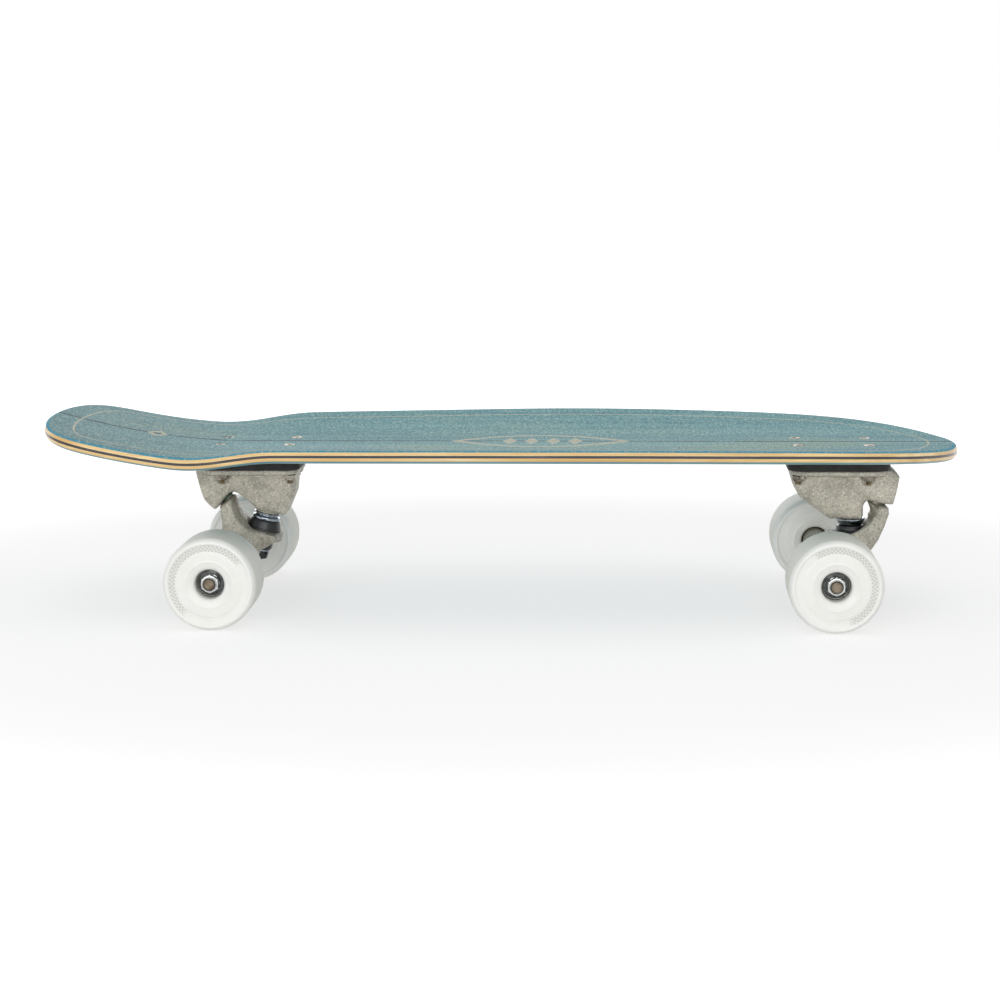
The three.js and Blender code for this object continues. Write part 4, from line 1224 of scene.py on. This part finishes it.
class SKATEBOARD_OT_wheels(Operator):
    """Make the four wheels and their bearings"""

    bl_idname = "skateboard.wheels"
    bl_label = "Wheels and bearings"

    def execute(self, context):
        face = [(8.2, 0), (8.2, 4.95), (11.05, 4.95), (11.05, 12.0), (11.05, 19.2),
                (12.4, 21.0), (16.6, 22.4), (17.2, 22.9), (18.0, 22.9), (18.5, 22.55),
                (24.3, 22.75), (24.8, 22.2), (30.0, 22.4), (30.6, 23.3), (31.6, 23.9),
                (32.8, 23.3), (34.3, 20.9), (35.0, 18.4)]
        radii = [0, 0.3, 0.4, 0, 1.6, 1.6, 0.6, 0.5, 0.5, 0.5, 0.4, 0.4, 0.6, 0.8, 1.0, 1.4,
                 1.8, 1.6]
        other = [(radius, -y) for radius, y in face[:0:-1]]
        tyre = revolve(rounded([*face, *other], [*radii, *radii[:0:-1]], 4), 128)
        shield = rounded([(6.35, -3.1), (7.2, -3.1), (7.5, -2.9), (9.65, -2.9), (9.65, 2.9),
                          (7.5, 2.9), (7.2, 3.1), (6.35, 3.1)], 0.2, 2)
        bearing = (
            ("outer_ring", ring_shape(9.6, 11.0, -3.5, 3.5, 0.5, 3, 64), "ring_steel"),
            ("inner_ring", ring_shape(4.28, 6.1, -3.5, 3.5, 0.4, 3, 64), "ring_steel"),
            ("shield", revolve(shield, 64), "shield_steel"),
        )
        for truck in TRUCKS:
            for label, side in SIDES:
                name = f"{truck['name']}_{label}"
                body = f"{name}_wheel_body"
                wheel = add_piece(f"{name}_urethane", on_axle(truck, tyre, side, WHEEL_Y), body,
                                  "urethane", "milky_urethane", (f"{name}_wheel",), crease=40)
                x, y, z = piece_points(wheel)
                across, up = turned(x - truck["x"] * MM, z - WHEEL_RADIUS * MM, truck["band"])
                set_attribute(wheel, "across", across)
                set_attribute(wheel, "up", up)
                set_attribute(wheel, "out", side * y - WHEEL_Y * MM)
                for place, offset in (("outer", BEARING_Y), ("inner", -BEARING_Y)):
                    for part, shape, skin in bearing:
                        solids = (f"{name}_{place}_bearing",) if part == "outer_ring" else ()
                        add_piece(f"{name}_{place}_bearing_{part}",
                                  on_axle(truck, shape, side, WHEEL_Y + offset), body,
                                  "bearing_steel", skin, solids)
        return {"FINISHED"}


class SKATEBOARD_OT_bolts(Operator):
    """Make the eight deck bolts and their nuts"""

    bl_idname = "skateboard.bolts"
    bl_label = "Deck bolts"

    def execute(self, context):
        nut_base = WHEEL_RADIUS + TRUCK_HEIGHT - FLANGE_THICKNESS - PLY_GAP - DECK_NUT_HEIGHT
        tail = nut_base - 2.6 - DECK_TOP
        outer = [(0, tail), (2.0, tail), *threaded(2.36, 0.2, tail + 0.4, 0.4, 24), (2.4, -2.6),
                 (4.35, -0.7), (4.55, -0.45), (4.45, -0.1), (4.1, 0.0), (2.15, 0.0),
                 (1.75, -0.25), (1.7, -1.8), (0, -2.0)]
        bolt = revolve(outer, 48, closed=False, radius=socket_reach)
        nut = nut_shape(9.2, DECK_NUT_HEIGHT, 2.5, 0.5, (3.9, 1.3))
        for truck in TRUCKS:
            name = truck["name"]
            for number, (x, y) in enumerate(bolt_places(truck), 1):
                add_piece(f"{name}_deck_bolt_{number}", moved(bolt, x, y, DECK_TOP), "deck",
                          "brown_steel", "brass_bolt", (f"{name}_bolt_{number}",))
                add_piece(f"{name}_deck_nut_{number}", moved(nut, x, y, nut_base), "deck",
                          "zinc", "dark_steel", (f"{name}_bolt_nut_{number}",))
        return {"FINISHED"}


# Stage


def add_lamp(name, place, target, size, power):
    lamp = bpy.data.lights.new(name, "AREA")
    lamp.shape = "RECTANGLE"
    lamp.size, lamp.size_y = size
    lamp.energy = power
    holder = link_object(name, lamp)
    holder.location = place
    x, y, z = np.array(place) - np.array(target)
    holder.rotation_euler = (np.arctan2(np.hypot(x, y), z), 0, np.arctan2(x, -y))


def add_camera():
    """The camera that was fitted to the photograph: place, three turns and lens."""
    camera = bpy.data.cameras.new("camera")
    camera.sensor_width = 36
    camera.lens = 80.88
    camera.clip_start = 0.01
    holder = link_object("camera", camera)
    yaw, pitch, roll = np.radians(-3.168), np.radians(9.456), -0.363
    ahead = np.array((np.sin(yaw) * np.cos(pitch), np.cos(yaw) * np.cos(pitch), -np.sin(pitch)))
    level = np.array((np.cos(yaw), -np.sin(yaw), 0))
    up = np.cross(level, ahead)
    turn = np.eye(4)
    turn[:3, 0], turn[:3, 1] = turned(level, up, roll)
    turn[:3, 2] = -ahead
    turn[:3, 3] = (0.0946, -1.7357, 0.3697)
    holder.matrix_world = Matrix(turn.tolist())
    bpy.context.scene.camera = holder


def seen_directly(web):
    """1 where the camera, a reflection or a view through glass meets the surface."""
    path = web.add("ShaderNodeLightPath").outputs
    seen = web.math("MAXIMUM", path["Is Camera Ray"], path["Is Glossy Ray"])
    return web.math("MAXIMUM", seen, path["Is Transmission Ray"])


def floor_white():
    """Matt white that keeps the shadow near the object and glows to plain white further out.
    From below it is clear, so that the board's underside can be seen."""
    material, web = new_material("floor_white")
    shader = web.tree.nodes["Principled BSDF"]
    far = web.add("ShaderNodeVectorMath", {0: web.place((1, 1.2, 1))}, operation="LENGTH")
    glow = web.ramp(far.outputs["Value"], 0.45, 1.1, 0.62, 1.0)
    share = web.ramp(seen_directly(web), 0.0, 1.0, 0.45, 1.0)
    web.feed(shader, {"Base Color": (0.42, 0.42, 0.42, 1), "Roughness": 1.0,
                      "Specular IOR Level": 0.0, "Emission Color": (1, 1, 1, 1),
                      "Emission Strength": web.product(glow, share)})
    below = web.add("ShaderNodeNewGeometry").outputs["Backfacing"]
    clear = web.add("ShaderNodeBsdfTransparent").outputs[0]
    mixed = web.add("ShaderNodeMixShader", {0: below, 1: shader.outputs[0], 2: clear})
    web.feed(web.tree.nodes["Material Output"], {"Surface": mixed.outputs[0]})
    return material


class SKATEBOARD_OT_stage(Operator):
    """Make the floor, the lamps, the world and the camera"""

    bl_idname = "skateboard.stage"
    bl_label = "Stage"

    def execute(self, context):
        scene = context.scene
        scene.view_settings.view_transform = "Standard"
        floor = bpy.data.meshes.new("floor")
        floor.from_pydata([(-9, -9, 0), (9, -9, 0), (9, 9, 0), (-9, 9, 0)], [], [(0, 1, 2, 3)])
        floor.materials.append(floor_white())
        link_object("floor", floor)
        world = bpy.data.worlds.new("studio")
        world.use_nodes = True
        web = Web(world.node_tree)
        web.feed(web.tree.nodes["Background"],
                 {"Color": (1, 1, 1, 1),
                  "Strength": web.ramp(seen_directly(web), 0.0, 1.0, 0.56, 1.0)})
        scene.world = world
        power = scene.skateboard.light
        add_lamp("top_lamp", (0.1, -0.3, 1.7), (0, 0, 0.1), (2.0, 1.4), 3.5 * power)
        add_lamp("front_lamp", (-0.2, -2.3, 0.6), (0, 0, 0.06), (2.4, 0.9), 21.5 * power)
        add_lamp("back_lamp", (-0.4, 2.3, 0.6), (0, 0, 0.06), (2.4, 0.9), 14 * power)
        add_camera()
        return {"FINISHED"}


class SKATEBOARD_PT_panel(Panel):
    """Sizes, colours and the pieces in the order that they are made"""

    bl_idname = "SKATEBOARD_PT_panel"
    bl_label = "Surf skateboard"
    bl_space_type = "VIEW_3D"
    bl_region_type = "UI"
    bl_category = "Skateboard"

    def draw(self, context):
        settings = context.scene.skateboard
        for name in ("stain", "cast", "urethane", "stripe_inset", "stripe_width", "cast_step",
                     "light"):
            self.layout.prop(settings, name)
        for operator in OPERATORS:
            self.layout.operator(operator.bl_idname)


OPERATORS = (
    SKATEBOARD_OT_deck,
    SKATEBOARD_OT_risers,
    SKATEBOARD_OT_baseplates,
    SKATEBOARD_OT_hangers,
    SKATEBOARD_OT_stacks,
    SKATEBOARD_OT_axles,
    SKATEBOARD_OT_wheels,
    SKATEBOARD_OT_bolts,
    SKATEBOARD_OT_stage,
)
CLASSES = (SkateboardSettings, *OPERATORS, SKATEBOARD_PT_panel)


def register():
    for item in CLASSES:
        bpy.utils.register_class(item)
    bpy.types.Scene.skateboard = PointerProperty(type=SkateboardSettings)


def unregister():
    del bpy.types.Scene.skateboard
    for item in reversed(CLASSES):
        bpy.utils.unregister_class(item)


def main():
    register()
    for operator in OPERATORS:
        group, name = operator.bl_idname.split(".")
        getattr(getattr(bpy.ops, group), name)()


if __name__ == "__main__":
    main()
